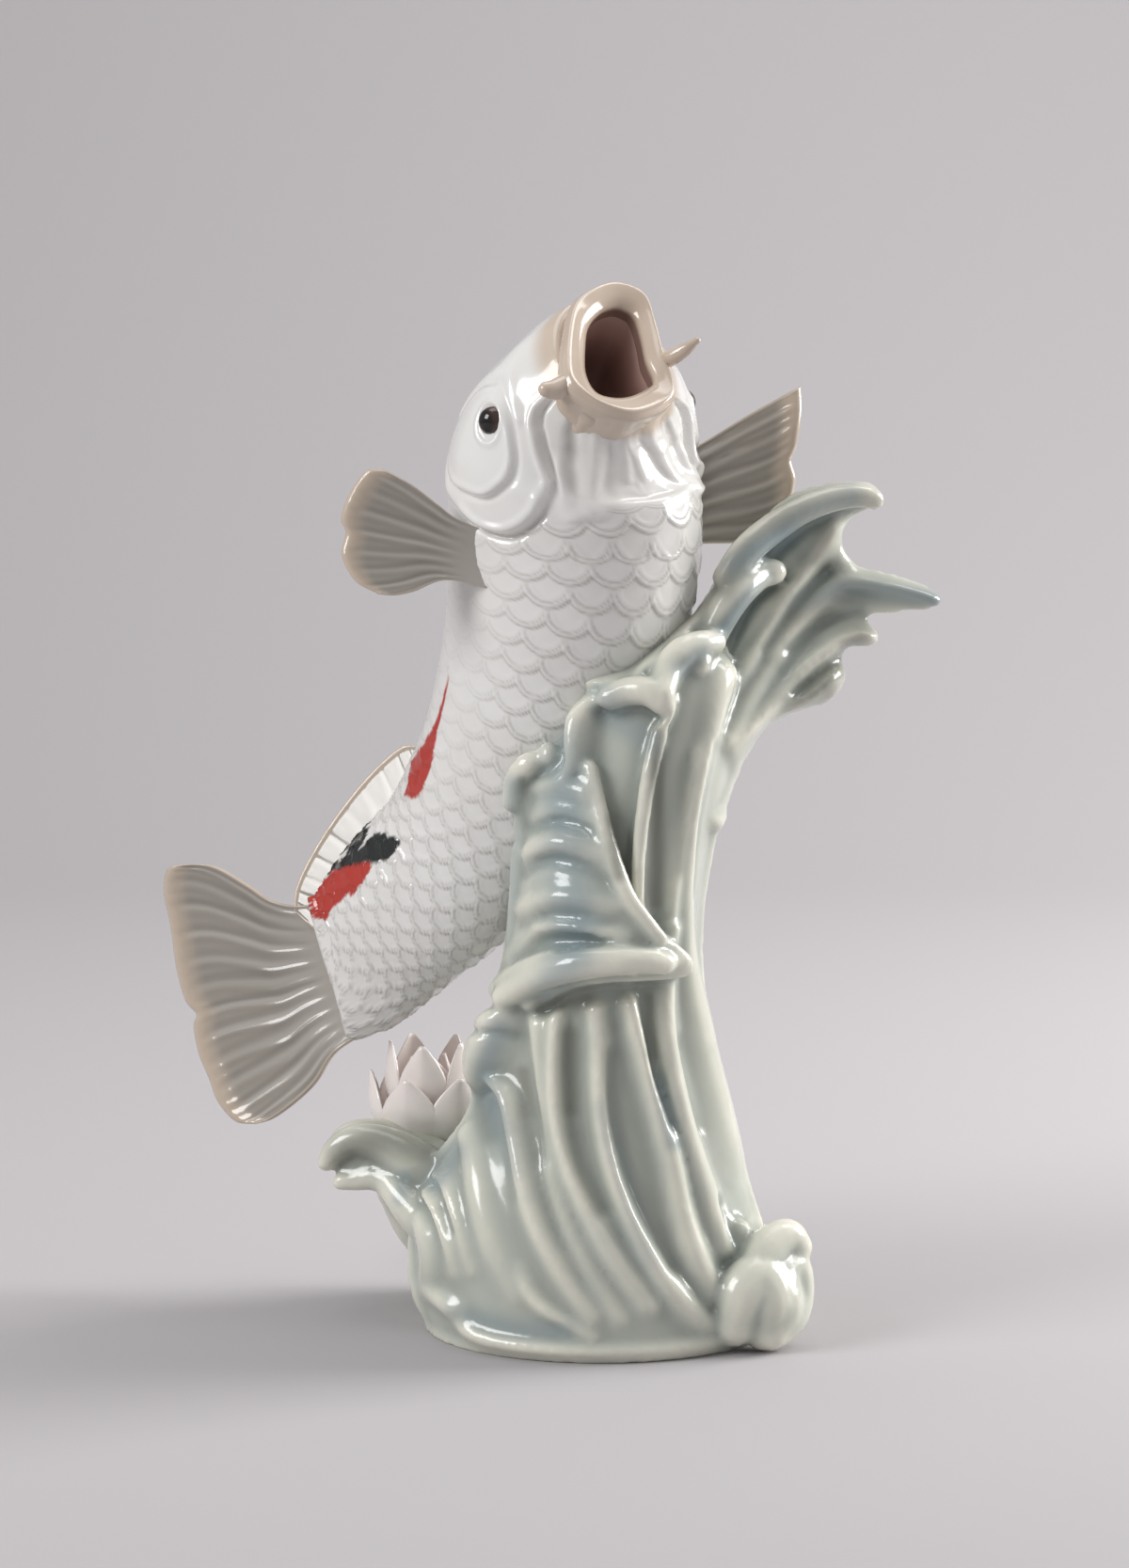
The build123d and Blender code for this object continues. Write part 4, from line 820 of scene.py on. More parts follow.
column = {  # height share, then middle and half sizes as shares of the base's width and depth
    "height": 228, "width": 130, "depth": 112, "inset": 1.8, "relief": 1.35, "top": 1.07,
    "rings": 200, "sides": 330, "facing": (0.02, 0.30),  # from the back's flutes to the photo's strokes
    "rows": [(0.000, 0.000, 0.000, 0.480, 0.480), (0.035, 0.000, 0.000, 0.500, 0.495),
             (0.165, -0.035, -0.009, 0.475, 0.465), (0.245, -0.035, -0.018, 0.425, 0.422),
             (0.340, 0.000, -0.036, 0.352, 0.362), (0.460, 0.000, -0.045, 0.302, 0.318),
             (0.615, 0.010, -0.045, 0.262, 0.288), (0.770, 0.035, -0.045, 0.270, 0.283),
             (0.890, 0.095, -0.045, 0.274, 0.272), (0.970, 0.130, -0.060, 0.240, 0.235),
             (1.030, 0.175, -0.070, 0.195, 0.190), (1.070, 0.215, -0.075, 0.120, 0.115)],
    # flutes of the back: height share, bearings where they start and end, depth
    "backFlutes": 8, "backRows": [(0.00, -5, 225, 3.4), (0.25, -6, 178, 3.2), (0.45, -10, 190, 2.8),
                                  (0.70, -24, 195, 2.4), (1.00, -48, 195, 2.0)],
    "ridges": [
        [(775, 715, 2, 15), (752, 800, 2.6, 11), (736, 880, 3, 10), (729, 950, 3, 10), (732, 1020, 3, 11),
         (748, 1095, 3.4, 13), (768, 1165, 3.6, 15), (790, 1230, 3.6, 17), (808, 1290, 2, 16)],
        [(742, 800, 2, 7), (724, 880, 2.6, 8), (716, 950, 2.6, 8), (712, 1010, 2.2, 8)],
        [(712, 985, 4.5, 9), (708, 1040, 3.6, 11), (707, 1090, 4, 12), (716, 1150, 4.2, 13),
         (732, 1215, 4.2, 14), (752, 1275, 4, 15), (775, 1325, 3, 14)],
        [(700, 775, 5, 7), (690, 812, 5, 7), (683, 860, 4.6, 6.5), (679, 905, 4.6, 6.5), (676, 945, 4.8, 7),
         (682, 975, 4, 7)],
        [(665, 1040, 4, 10), (672, 1085, 5, 11), (684, 1130, 5, 12), (700, 1185, 4.6, 13),
         (713, 1235, 4.6, 14), (722, 1280, 4.6, 14), (738, 1330, 4.2, 15), (760, 1372, 3, 14)],
        [(632, 1065, 3, 12), (637, 1110, 3, 13), (637, 1160, 4, 12), (642, 1205, 4.6, 12),
         (655, 1255, 4.6, 13), (676, 1305, 4.2, 14), (708, 1362, 3.6, 15), (742, 1398, 2.6, 14),
         (772, 1418, 1.5, 12)],
        [(592, 1078, 4, 11), (590, 1130, 4.6, 12), (592, 1185, 4.6, 12), (603, 1235, 4.2, 13),
         (622, 1280, 3.8, 15), (652, 1335, 3.2, 16), (690, 1385, 2.2, 15)],
        [(572, 1085, 3.4, 12), (575, 1130, 3, 10), (578, 1180, 2.6, 9), (584, 1230, 2.6, 11),
         (600, 1290, 2.2, 12), (628, 1350, 1.8, 13), (660, 1400, 1.2, 12)],
        [(527, 1150, 4.4, 9), (541, 1172, 4.6, 9), (549, 1215, 4.2, 11), (558, 1262, 4, 13),
         (573, 1308, 3.6, 14), (598, 1355, 2.6, 14), (628, 1398, 1.6, 13)],
        [(519, 1140, 4, 9), (503, 1165, 4.6, 8), (495, 1190, 4.4, 9), (500, 1228, 3, 12),
         (508, 1280, 2.4, 14), (522, 1330, 1.8, 15), (545, 1375, 1, 14)],
        [(500, 1150, 3, 9), (486, 1195, 4.6, 9), (466, 1222, 4.6, 9), (450, 1250, 4.6, 9),
         (441, 1275, 4, 8), (446, 1300, 3, 8), (452, 1335, 2.4, 9), (450, 1375, 1.4, 10)],
        [(446, 1262, 3, 6), (456, 1268, 4, 6), (466, 1290, 3.4, 6), (474, 1320, 2.4, 7), (480, 1352, 1, 9)],
        [(462, 1248, 3, 7), (474, 1256, 3.6, 7), (482, 1284, 3, 7), (489, 1316, 2, 8), (498, 1350, 1, 10)],
        [(452, 1372, 2, 10), (478, 1392, 3, 10), (505, 1420, 3, 10), (550, 1433, 3, 10),
         (620, 1440, 2.6, 10), (700, 1440, 2.2, 10), (780, 1426, 2, 10)],
        [(548, 1352, 1, 10), (565, 1380, 2, 9), (592, 1402, 2, 8), (630, 1422, 1.4, 8)],
        # the upper lip
        [(604, 746, 3, 9), (608, 732, 5, 8), (630, 725, 6, 8), (660, 724, 6, 8), (690, 728, 6, 7),
         (709, 740, 6, 6.5), (713, 756, 6, 6), (704, 775, 5, 6), (692, 802, 4, 6)],
        [(640, 738, 5, 12), (622, 760, 7, 12), (617, 785, 7, 12), (612, 812, 6, 13), (600, 830, 4, 14)],
        [(570, 752, 3, 8), (569, 772, 4, 8), (573, 792, 3, 8)],
        [(583, 801, 7, 7), (584, 805, 7, 7)],
        [(586, 745, 3, 7), (596, 742, 3, 7)],
        # the small loop and the left rim
        [(575, 802, 3, 7), (556, 812, 5, 7), (543, 830, 5, 7), (540, 850, 4, 7), (543, 872, 3, 7)],
        [(572, 838, 3, 6), (566, 852, 4, 5), (556, 872, 4, 5), (552, 892, 2, 6)],
        [(538, 870, 3, 6), (535, 930, 3, 6), (530, 990, 3, 6), (522, 1040, 3, 8), (512, 1080, 3, 8)],
        [(549, 900, 2.4, 6), (545, 950, 2.4, 6), (540, 1000, 2.4, 7), (528, 1045, 2, 8)],
        # the small tongue
        [(545, 1066, 7, 14), (533, 1090, 9, 15), (523, 1120, 9, 14), (511, 1148, 7, 11), (499, 1172, 4, 8)],
    ],
    "grooves": [
        [(722, 760, -3, 9), (708, 800, -4, 8), (700, 850, -4.5, 7.5), (697, 900, -4.5, 7.5),
         (696, 950, -4.5, 7), (694, 978, -3, 6)],
        [(652, 840, -3, 9), (651, 880, -4, 8), (656, 920, -4, 7), (664, 950, -3, 6)],
        [(680, 1050, -3, 5), (688, 1095, -4, 5), (696, 1140, -3.4, 6), (712, 1195, -1.6, 6)],
        [(610, 1080, -3, 8), (607, 1130, -4, 8), (610, 1185, -4, 7), (619, 1235, -3, 8),
         (640, 1285, -1.5, 9)],
        [(652, 1120, -1.5, 8), (656, 1180, -3.4, 8), (668, 1240, -3.6, 9), (686, 1290, -2.4, 10),
         (715, 1345, -1.2, 10)],
        [(724, 1105, -1.4, 5), (735, 1150, -2, 5), (746, 1200, -1, 6)],
        [(764, 1275, -2, 5), (775, 1308, -2.4, 5), (784, 1332, -1, 5)],
        [(519, 1168, -4, 11), (520, 1195, -4.5, 12), (528, 1230, -3, 11), (538, 1270, -1.4, 10)],
        [(556, 1132, -3.4, 6), (561, 1160, -4, 7), (568, 1195, -3, 8), (575, 1230, -1.5, 9)],
        [(450, 1280, -3, 5), (455, 1296, -1.4, 5)],
        [(470, 1282, -1.5, 4), (478, 1310, -1, 5)],
        [(488, 1402, -1.6, 9), (530, 1412, -1.6, 8), (590, 1416, -1.4, 8)],
        [(645, 757, -4.5, 9), (660, 762, -3.5, 14), (680, 772, -3, 14), (672, 800, -2.4, 14),
         (668, 860, -1.6, 13)],
        [(556, 832, -5, 6), (556, 842, -4, 6)],
        [(598, 792, -3, 7), (602, 806, -2, 8)],
        [(735, 800, -1, 3.4), (722, 870, -1.4, 3.4), (716, 930, -1, 3.4)],
        [(760, 790, -1, 3.4), (744, 870, -1.4, 3.4), (738, 950, -1, 3.4)],
        [(541, 900, -1.4, 3), (539, 950, -1.4, 3), (533, 1000, -1.2, 3)],
        [(575, 1070, -6, 9), (600, 1062, -6, 9), (640, 1056, -5, 8), (680, 1050, -4, 7)],
    ],
}


def columnRow(height):
    rows = np.array(column["rows"])
    share = height / column["height"]
    right, behind, wide, deep = alongRows(rows[:, 1:], np.interp(share, rows[:, 0], np.arange(len(rows)))).T
    return right * column["width"], behind * column["depth"], wide * column["width"], deep * column["depth"]


strokeForm = {"steps": 6, "reach": 2.6, "fall": 2.4}  # how far out a stroke is felt, how square its top is


def strokeHeight(px, py, strokes):  # the strongest stroke at each place
    height = np.zeros(px.shape)
    for stroke in strokes:
        line = fineLine(stroke, strokeForm["steps"])
        reach = strokeForm["reach"] * line[:, 3].max()
        near = ((px > line[:, 0].min() - reach) & (px < line[:, 0].max() + reach)
                & (py > line[:, 1].min() - reach) & (py < line[:, 1].max() + reach))
        x, y = px[near], py[near]
        least, lift = np.full(x.shape, 1e9), np.zeros(x.shape)
        for a, b in zip(line[:-1], line[1:]):
            t, away = toSegment(x, y, a, b)
            tall, wide = (a[k] + (b[k] - a[k]) * t for k in (2, 3))
            lift = np.where(away < least, tall * np.exp(-(away / wide) ** strokeForm["fall"]), lift)
            least = np.minimum(away, least)
        strongest = height[near]
        height[near] = np.where(np.abs(lift) > np.abs(strongest), lift, strongest)
    return height


def carved(px, py, form):
    return (strokeHeight(px, py, form["ridges"]) + strokeHeight(px, py, form["grooves"])) * form["relief"]


tongue = {  # rows down the tongue: left and right edge in the photo, how far it stands out there
    "lip": (1.2, 7, 6),  # height, place in from the edge, width
    "rows": [(792, 566, 628, 0, 2, 1), (815, 563, 631, 2, 4, 3), (850, 561, 637, 2, 6, 4),
             (890, 560, 648, 2, 8, 5), (930, 555, 659, 2, 9.5, 8), (965, 549, 672, 2, 10.5, 10),
             (990, 543, 696, 2, 11, 13), (1010, 537, 713, 3, 11, 14), (1030, 528, 715, 3, 10, 13),
             (1050, 515, 700, 3, 7, 8)],
    "outline": [(570, 785), (600, 790), (628, 808), (634, 840), (642, 880), (655, 925), (666, 955),
                (684, 978), (704, 996), (716, 1016), (714, 1036), (690, 1042), (645, 1045), (612, 1052),
                (585, 1066), (560, 1078), (530, 1076), (515, 1060), (532, 1010), (546, 960), (556, 900),
                (560, 850), (563, 810)],
    "ripples": [
        [(566, 838, 1.9, 8), (600, 832, 2.2, 9), (628, 842, 1.6, 8)],
        [(566, 880, -1.9, 6), (584, 875, -3.5, 6), (605, 872, -3.8, 6), (630, 880, -2.2, 6)],
        [(560, 906, 1.9, 8), (600, 892, 2.9, 10), (640, 904, 1.6, 8)],
        [(560, 930, -1.6, 7), (590, 914, -2.9, 7), (620, 918, -2.9, 7), (648, 934, -1.6, 6)],
        [(556, 965, 1.6, 9), (600, 950, 2.9, 10), (652, 958, 1.6, 8)],
        [(560, 984, -1.0, 5), (600, 970, -1.3, 5), (650, 975, -1.0, 5)],
        [(580, 984, 1.3, 6), (610, 980, 2.2, 6), (660, 990, 1.3, 6)],
        [(560, 1018, -1.6, 8), (585, 1001, -3.5, 8), (620, 997, -4.2, 9), (652, 1002, -1.9, 8)],
        [(535, 1052, 3.2, 9), (560, 1032, 4.2, 10), (600, 1015, 4.2, 10), (650, 1008, 3.2, 9),
         (700, 1018, 2.6, 9)],
        [(516, 1072, -2.6, 5), (535, 1066, -3.2, 4.5), (556, 1074, -2.6, 5)],
        [(508, 1100, -2.2, 5), (530, 1094, -3.2, 4.5), (548, 1102, -2.2, 5)],
    ],
}


def tongueHeight(px, py):
    left, right, low, middle, high = readTable(tongue["rows"], py)
    t = np.clip((px - left) / (right - left), 0, 1)
    stand = low * (1 - t) * (1 - 2 * t) + middle * 4 * t * (1 - t) + high * t * (2 * t - 1)
    inside = insideLoop(px, py, closedLine(tongue["outline"]))
    edge = smooth(-2.5, 5, inside)
    return (stand + ridge(inside, *tongue["lip"]) * smooth(0.55, 0.9, t)) * edge


def backHeight(share, turn):  # flutes of the back, which the photo doesn't show
    share = share[:, None]
    start, end, depth = readTable(column["backRows"], share)
    bearing = np.mod(np.degrees(turn)[None] - start + 60, 360) - 60
    flute = 2 * math.pi * bearing * column["backFlutes"] / (end - start)
    broad = 0.5 + 0.5 * np.cos(flute + 0.5 * np.sin(share * 9))
    fine = 0.5 + 0.5 * np.cos(2 * flute + 1.3 * np.sin(share * 6 + 1))
    return depth * (1.2 * broad**1.4 + 0.35 * fine - 0.2)


def buildColumn():
    rings, sides = column["rings"], column["sides"]
    share, turn = np.linspace(0, column["top"], rings), fullTurn(sides)
    heights = share * column["height"]
    x, y, wide, deep = (v[:, None] for v in columnRow(heights))
    out = unit(np.stack(np.broadcast_arrays(np.cos(turn) / wide, np.sin(turn) / deep, 0 * wide), -1))
    x, y = x + wide * np.cos(turn), y + deep * np.sin(turn)
    place = np.stack(np.broadcast_arrays(x, y, heights[:, None]), -1)
    px, py = toPhoto(place)
    front = np.maximum(carved(px, py, column), tongueHeight(px, py))
    front += strokeHeight(px, py, tongue["ripples"])
    facing = smooth(*column["facing"], -(out @ viewFacing))
    lift = front * facing + backHeight(share, turn) * (1 - facing) - column["inset"]
    foot = smooth(0, 0.02, share) * smooth(0, 0.03, share + 0.012)  # the foot ring stays plain
    place = place + out * (lift * foot[:, None])[..., None]
    return place.reshape(-1, 3), cappedFaces(rings, sides)


crest = {  # outline in the photo; half thickness, then its growth towards the fish
    "step": 3.5, "edge": 17, "relief": 1.3, "thinnest": 0.5, "backRelief": 0.5,
    "lowerEnd": (770, 850), "lowerRun": 5, "rootSwell": 5,
    "outline": [(640, 742), (664, 714), (690, 690), (715, 669), (738, 648), (755, 622), (765, 603),
                (782, 578), (800, 558), (825, 535), (850, 520), (878, 512), (905, 509), (928, 513),
                (940, 524), (936, 538), (916, 545), (901, 558), (897, 576), (904, 593), (920, 603),
                (950, 609), (982, 620), (998, 631), (1003, 640), (994, 647), (965, 651), (928, 655),
                (922, 661), (935, 671), (935, 683), (922, 689), (903, 689), (896, 700), (900, 718),
                (893, 737), (875, 750), (850, 757), (825, 768), (808, 785), (797, 803), (786, 825),
                (775, 855), (765, 885), (700, 885), (660, 800)],
    "fanRoot": (10.4, -5.0, 196.1), "fanReach": 137, "fanWidth": 92, "fanLean": 38.5,
    # reach from the column along the lean, then half width, middle to the back, bow, tilt, half thickness
    "fanRows": [(-0.10, 0.36, -0.02, 0.00, 0.00, 0.28), (0.20, 0.42, 0.00, 0.05, 0.04, 0.22),
                (0.45, 0.50, 0.05, 0.12, 0.09, 0.12), (0.72, 0.58, 0.08, 0.18, 0.13, 0.055),
                (1.04, 0.66, 0.02, 0.20, 0.16, 0.034)],
    "ridges": [
        [(700, 705, 3, 16), (735, 660, 3, 15), (765, 622, 3, 15), (790, 588, 3, 15), (817, 563, 3, 15),
         (850, 540, 3, 14), (888, 527, 2.4, 13), (918, 524, 2, 12), (930, 528, 2, 11)],
        [(765, 770, 3, 13), (800, 700, 3, 13), (838, 640, 3, 12), (868, 592, 2.6, 11), (888, 562, 2, 9)],
        [(775, 785, 3, 13), (815, 712, 3, 13), (855, 655, 3.4, 12), (893, 622, 3.6, 11),
         (940, 624, 3.6, 10), (985, 634, 3, 8), (1006, 639, 2, 6)],
        [(785, 800, 3, 12), (832, 735, 3, 11), (876, 695, 3.2, 10), (915, 675, 3.4, 9), (930, 675, 3, 8)],
        [(790, 815, 2.6, 10), (842, 757, 3, 10), (878, 725, 3, 10), (892, 714, 2, 8)],
        [(655, 735, 4, 14), (682, 704, 5, 14), (716, 675, 5, 12), (744, 645, 4, 10)],
    ],
    "grooves": [
        [(778, 660, -1, 8), (805, 612, -2.6, 9), (828, 582, -3.4, 10), (850, 563, -3, 9),
         (876, 549, -1.6, 8)],
        [(838, 690, -1.6, 7), (874, 662, -2.4, 7), (915, 650, -1.8, 6)],
        [(812, 690, -1.4, 6), (846, 640, -2, 7), (880, 606, -2, 7)],
        [(848, 738, -1.8, 7), (882, 706, -2, 7), (902, 695, -1.4, 6)],
        [(845, 768, -1.4, 6), (878, 742, -1.4, 6)],
        [(770, 697, -3, 8), (784, 668, -4.4, 8), (799, 642, -4.4, 7), (820, 622, -3.4, 7),
         (838, 612, -1.5, 7)],
        [(720, 738, -4, 8), (735, 710, -4.4, 8), (758, 697, -3.4, 7)],
        [(737, 800, -1, 3.6), (762, 738, -1.4, 3.6), (795, 684, -1.2, 3.6), (818, 655, -0.8, 3.6)],
        [(752, 800, -1, 3.6), (780, 745, -1.2, 3.6), (815, 700, -1, 3.6)],
        [(700, 712, -1.6, 5), (735, 680, -1.6, 5), (752, 655, -1, 5)],
    ],
}


def fanAt(px, py):  # depth of the fan's middle and its half thickness
    lean, root = math.radians(crest["fanLean"]), crest["fanRoot"]
    depth = np.zeros(px.shape)
    for _ in range(6):  # the place depends on the depth, so it is found in rounds
        place = atDepth(px, py, depth)
        right, rise = place[..., 0] - root[0], place[..., 2] - root[2]
        reach = (right * math.sin(lean) + rise * math.cos(lean)) / crest["fanReach"]
        across = (right * math.cos(lean) - rise * math.sin(lean)) / crest["fanWidth"]
        half, middle, bow, tilt, thick = readTable(crest["fanRows"], reach)
        side = np.clip(across / half, -1, 1)
        depth = root[1] + crest["fanWidth"] * (middle + bow * (1 - side**2) + tilt * side)
    swell = crest["rootSwell"] * smooth(0.1, -0.9, side) * smooth(0.75, 0.4, reach)
    return depth, crest["fanWidth"] * thick + swell


def buildCrest():
    outline = closedLine(crest["outline"])
    across, down = (np.arange(line.min() - 4, line.max() + 4, crest["step"]) for line in outline.T)
    px, py = np.meshgrid(across, down)
    inside = insideLoop(px, py, outline)
    kept = inside > 0
    total = int(kept.sum())
    depth, half = fanAt(px, py)
    # the edge is round, and the lower end runs out into the column
    edge = crest["edge"] * (1 + crest["lowerRun"] * smooth(*crest["lowerEnd"], py))
    rounded = np.sqrt(np.clip(1 - (1 - np.clip(inside / edge, 0, 1)) ** 2, 0, 1))
    half = crest["thinnest"] + half * rounded
    work = carved(px, py, crest) * rounded
    front = atDepth(px, py, depth - half - work)
    behind = atDepth(px, py, depth + half + crest["backRelief"] * work)
    index = -np.ones(px.shape, int)
    index[kept] = np.arange(total)
    quads = np.stack([index[:-1, :-1], index[:-1, 1:], index[1:, 1:], index[1:, :-1]], -1).reshape(-1, 4)
    quads = quads[(quads >= 0).all(1)]
    sides = np.concatenate([quads[:, [k, (k + 1) % 4]] for k in range(4)])
    reverse = set(map(tuple, sides[:, ::-1].tolist()))
    rim = [[a, b, b + total, a + total] for a, b in sides.tolist() if (a, b) not in reverse]
    faces = quads.tolist() + (quads[:, ::-1] + total).tolist() + rim
    return np.vstack([front[kept], behind[kept]]), faces


splash = {
    "voxel": 1.3, "softening": 3, "reliefRounds": 30, "reliefScale": 0.30, "near": 7, "margin": 4,
    # rolled edges: place in the photo, how far it stands off the wave there, radius
    "rolls": [
        [(742, 706, -1.5, 4.6), (755, 677, 1, 5.8), (769, 650, 2.2, 6.2), (786, 627, 2.6, 6.2),
         (806, 611, 2.6, 5.6), (822, 608, 2, 4.8)],
        [(704, 738, -2, 4.4), (710, 713, 0.6, 5.4), (723, 696, 1.6, 5.8), (742, 686, 1.6, 5.2),
         (760, 682, 0.6, 4.2)],
        [(772, 614, -0.5, 5), (793, 586, 1, 5.6), (820, 563, 1.4, 5.6), (852, 543, 1, 5),
         (888, 530, 0.4, 4.6), (916, 527, 0, 4.2), (929, 531, -0.4, 3.8)],
        [(648, 742, -3.4, 4.6), (668, 735, -2.8, 5.2), (688, 735, -2.6, 5.2), (704, 745, -3, 5)],
        [(583, 798, 0.4, 3.4), (584, 804, 0.4, 3.4)],
        [(574, 808, -3, 4), (560, 814, -2.2, 4.4), (549, 830, -2.2, 4.4), (545, 852, -3, 4)],
        [(628, 816, -1, 2.6), (635, 850, -0.6, 3), (644, 888, -0.4, 3.2), (655, 924, -0.4, 3.2),
         (668, 954, -0.4, 3), (685, 977, -0.6, 2.8), (702, 998, -1, 2.6)],
        [(536, 1060, -3, 4.6), (565, 1042, -2, 5.4), (605, 1028, -1.8, 5.8), (650, 1022, -1.8, 5.4),
         (690, 1022, -1.6, 4.8), (706, 1024, -1.6, 4.2)],
        [(701, 780, -3.2, 3.2), (690, 825, -1.2, 3), (683, 870, -0.8, 2.8), (679, 910, -1, 2.6),
         (678, 955, -1.6, 2.4)],
    ],
    # strands in the open: place in the photo, depth behind the middle, radius
    "strands": [
        [(470, 1258, 2, 9), (440, 1236, 5, 9), (410, 1219, 8, 7.5), (380, 1212, 9, 6), (358, 1222, 9, 5),
         (347, 1236, 9, 3.4)],
        [(475, 1250, 20, 11), (440, 1228, 23, 10), (405, 1212, 24, 8), (374, 1208, 22, 5.6),
         (354, 1222, 20, 4)],
        [(485, 1245, 42, 12), (448, 1224, 44, 10), (412, 1212, 42, 8), (385, 1213, 38, 5.6),
         (368, 1226, 34, 4)],
        [(495, 1250, 58, 10), (462, 1232, 58, 9), (430, 1222, 54, 7), (408, 1226, 48, 5)],
        [(445, 1282, 2, 7), (425, 1262, 4, 6.4), (400, 1252, 6, 5), (378, 1255, 7, 3.8), (362, 1257, 7, 3)],
        [(400, 1238, 10, 6), (380, 1238, 10, 4.6), (366, 1246, 10, 3)],
        [(458, 1305, -8, 8), (436, 1282, -3, 7), (418, 1262, 2, 5.6), (405, 1250, 5, 4)],
        [(478, 1330, 20, 12), (448, 1290, 24, 12), (425, 1262, 26, 9)],
        [(480, 1330, 45, 12), (455, 1285, 46, 12), (430, 1258, 44, 9)],
        [(780, 1405, -38, 9), (790, 1375, -38, 10), (806, 1358, -36, 9), (815, 1382, -36, 10),
         (812, 1412, -36, 8)],
        [(806, 1350, -34, 8), (818, 1326, -30, 7.5), (836, 1314, -26, 6.4), (846, 1326, -24, 6)],
        [(826, 1352, -30, 8), (842, 1346, -26, 6.6), (848, 1372, -26, 6), (841, 1398, -30, 6.4),
         (828, 1418, -36, 5)],
        [(824, 1366, -32, 9), (828, 1392, -34, 9), (820, 1418, -38, 6)],
        [(800, 1345, -28, 8), (790, 1330, -26, 7), (785, 1310, -24, 5)],
    ],
    # colour laid in the hollows: place in the photo, amount, width
    "blue": [
        [(600, 790, 0.5, 24), (600, 850, 0.8, 26), (602, 925, 0.7, 30), (610, 1000, 0.9, 28),
         (580, 1050, 0.5, 18)],
        [(640, 735, 0.5, 14), (655, 762, 0.6, 18), (690, 790, 0.4, 16)], [(585, 758, 0.5, 14),
         (586, 785, 0.5, 14)],
        [(545, 835, 0.6, 12), (541, 930, 0.5, 11), (533, 1000, 0.4, 11)],
        [(530, 1095, 0.7, 16), (515, 1145, 0.7, 13), (528, 1190, 0.6, 16), (545, 1240, 0.3, 14)],
        [(780, 600, 0.6, 13), (830, 572, 0.9, 15), (860, 548, 0.5, 13), (905, 530, 0.5, 12)],
        [(772, 668, 0.9, 10), (795, 636, 0.7, 10), (815, 612, 0.5, 9)], [(722, 712, 0.6, 11),
         (745, 694, 0.6, 10)],
        [(850, 640, 0.3, 14), (900, 624, 0.6, 12), (960, 632, 0.7, 11), (1000, 638, 0.7, 10)],
        [(485, 1225, 0.6, 13), (462, 1258, 0.7, 11)], [(430, 1250, 0.5, 9), (425, 1275, 0.6, 8)],
        [(480, 1392, 0.4, 12), (540, 1410, 0.6, 12), (600, 1416, 0.6, 12)], [(700, 1150, 0.5, 9),
         (716, 1215, 0.6, 10)],
        [(640, 1180, 0.3, 12), (690, 1340, 0.3, 14)],
    ],
    "shade": [
        [(770, 625, 0.5, 12), (800, 580, 0.7, 14), (850, 545, 0.5, 16), (900, 530, 0.5, 16),
         (932, 528, 0.4, 12)],
        [(860, 600, 0.3, 18), (880, 570, 0.4, 14)], [(850, 650, 0.4, 16), (905, 628, 0.6, 14),
         (1005, 638, 0.7, 12)],
        [(770, 665, 0.6, 8), (795, 636, 0.5, 8)], [(735, 706, 0.6, 9), (755, 695, 0.5, 8)],
        [(450, 1225, 0.8, 20), (410, 1212, 0.8, 22), (370, 1225, 0.7, 24)], [(446, 1242, 0.5, 14),
         (434, 1258, 0.5, 12)],
        [(556, 1140, 0.7, 8), (562, 1180, 0.5, 9)], [(519, 1172, 0.9, 12), (524, 1205, 0.7, 12)],
        [(697, 780, 0.8, 10), (699, 860, 1, 8), (696, 960, 1, 8)], [(652, 870, 0.7, 9), (658, 930, 0.6, 8)],
        [(690, 1060, 0.8, 5), (692, 1120, 0.6, 6)], [(606, 1100, 0.7, 10), (608, 1180, 0.7, 8)],
        [(575, 1068, 0.9, 12), (620, 1062, 0.8, 12)], [(845, 745, 0.5, 16), (880, 725, 0.8, 18),
         (895, 700, 0.6, 14), (915, 680, 0.6, 12)],
        [(555, 831, 0.8, 6), (556, 840, 0.6, 6)], [(640, 755, 0.7, 8), (646, 762, 0.5, 10)],
    ],
}


def onWave(skin, px, py, stand):  # so far off the foremost skin near a place in the photo
    x, y = toPhoto(skin)
    away = np.hypot(x - px, y - py)
    near = skin[away < max(splash["near"], away.min() + splash["margin"])]
    return atDepth(px, py, near[:, 1].min() - stand)


def buildWave():
    forms = [buildColumn(), buildCrest()]
    skin = np.vstack([points for points, _ in forms])
    for roll in splash["rolls"]:
        forms.append(tube([onWave(skin, *place[:3]) for place in roll], [place[3] for place in roll]))
    for strand in splash["strands"]:
        forms.append(tube([atDepth(*place[:3]) for place in strand], [place[3] for place in strand]))
    piece = makePiece("wave", *joined(forms))
    bpy.context.view_layer.objects.active = piece
    remesh = piece.modifiers.new("fuse", "REMESH")
    remesh.mode = "VOXEL"
    remesh.voxel_size = splash["voxel"] * mm
    soften = piece.modifiers.new("soften", "SMOOTH")
    soften.factor = 0.5
    soften.iterations = splash["softening"]
    for modifier in list(piece.modifiers):
        bpy.ops.object.modifier_apply(modifier=modifier.name)
    flatFoot(piece)
    place, relief = reliefOf(piece.data)
    px, py = toPhoto(place)
    # relief as colour: painted shade in the hollows, painted highlight on the raised ridges
    paint(piece, "relief", np.clip(0.5 + relief * splash["reliefScale"], 0, 1))
    for name in ("blue", "shade"):
        paint(piece, name, strokeHeight(px, py, splash[name]))
    piece.data.materials.append(finish["waveGlaze"])
    settle(piece, "wave_glaze", "wave_column", "wave_crest", "middle_ridge", "front_lip", "front_tongue",
           "left_rim", "small_tongue", "right_curl", "left_curl", "left_finger")


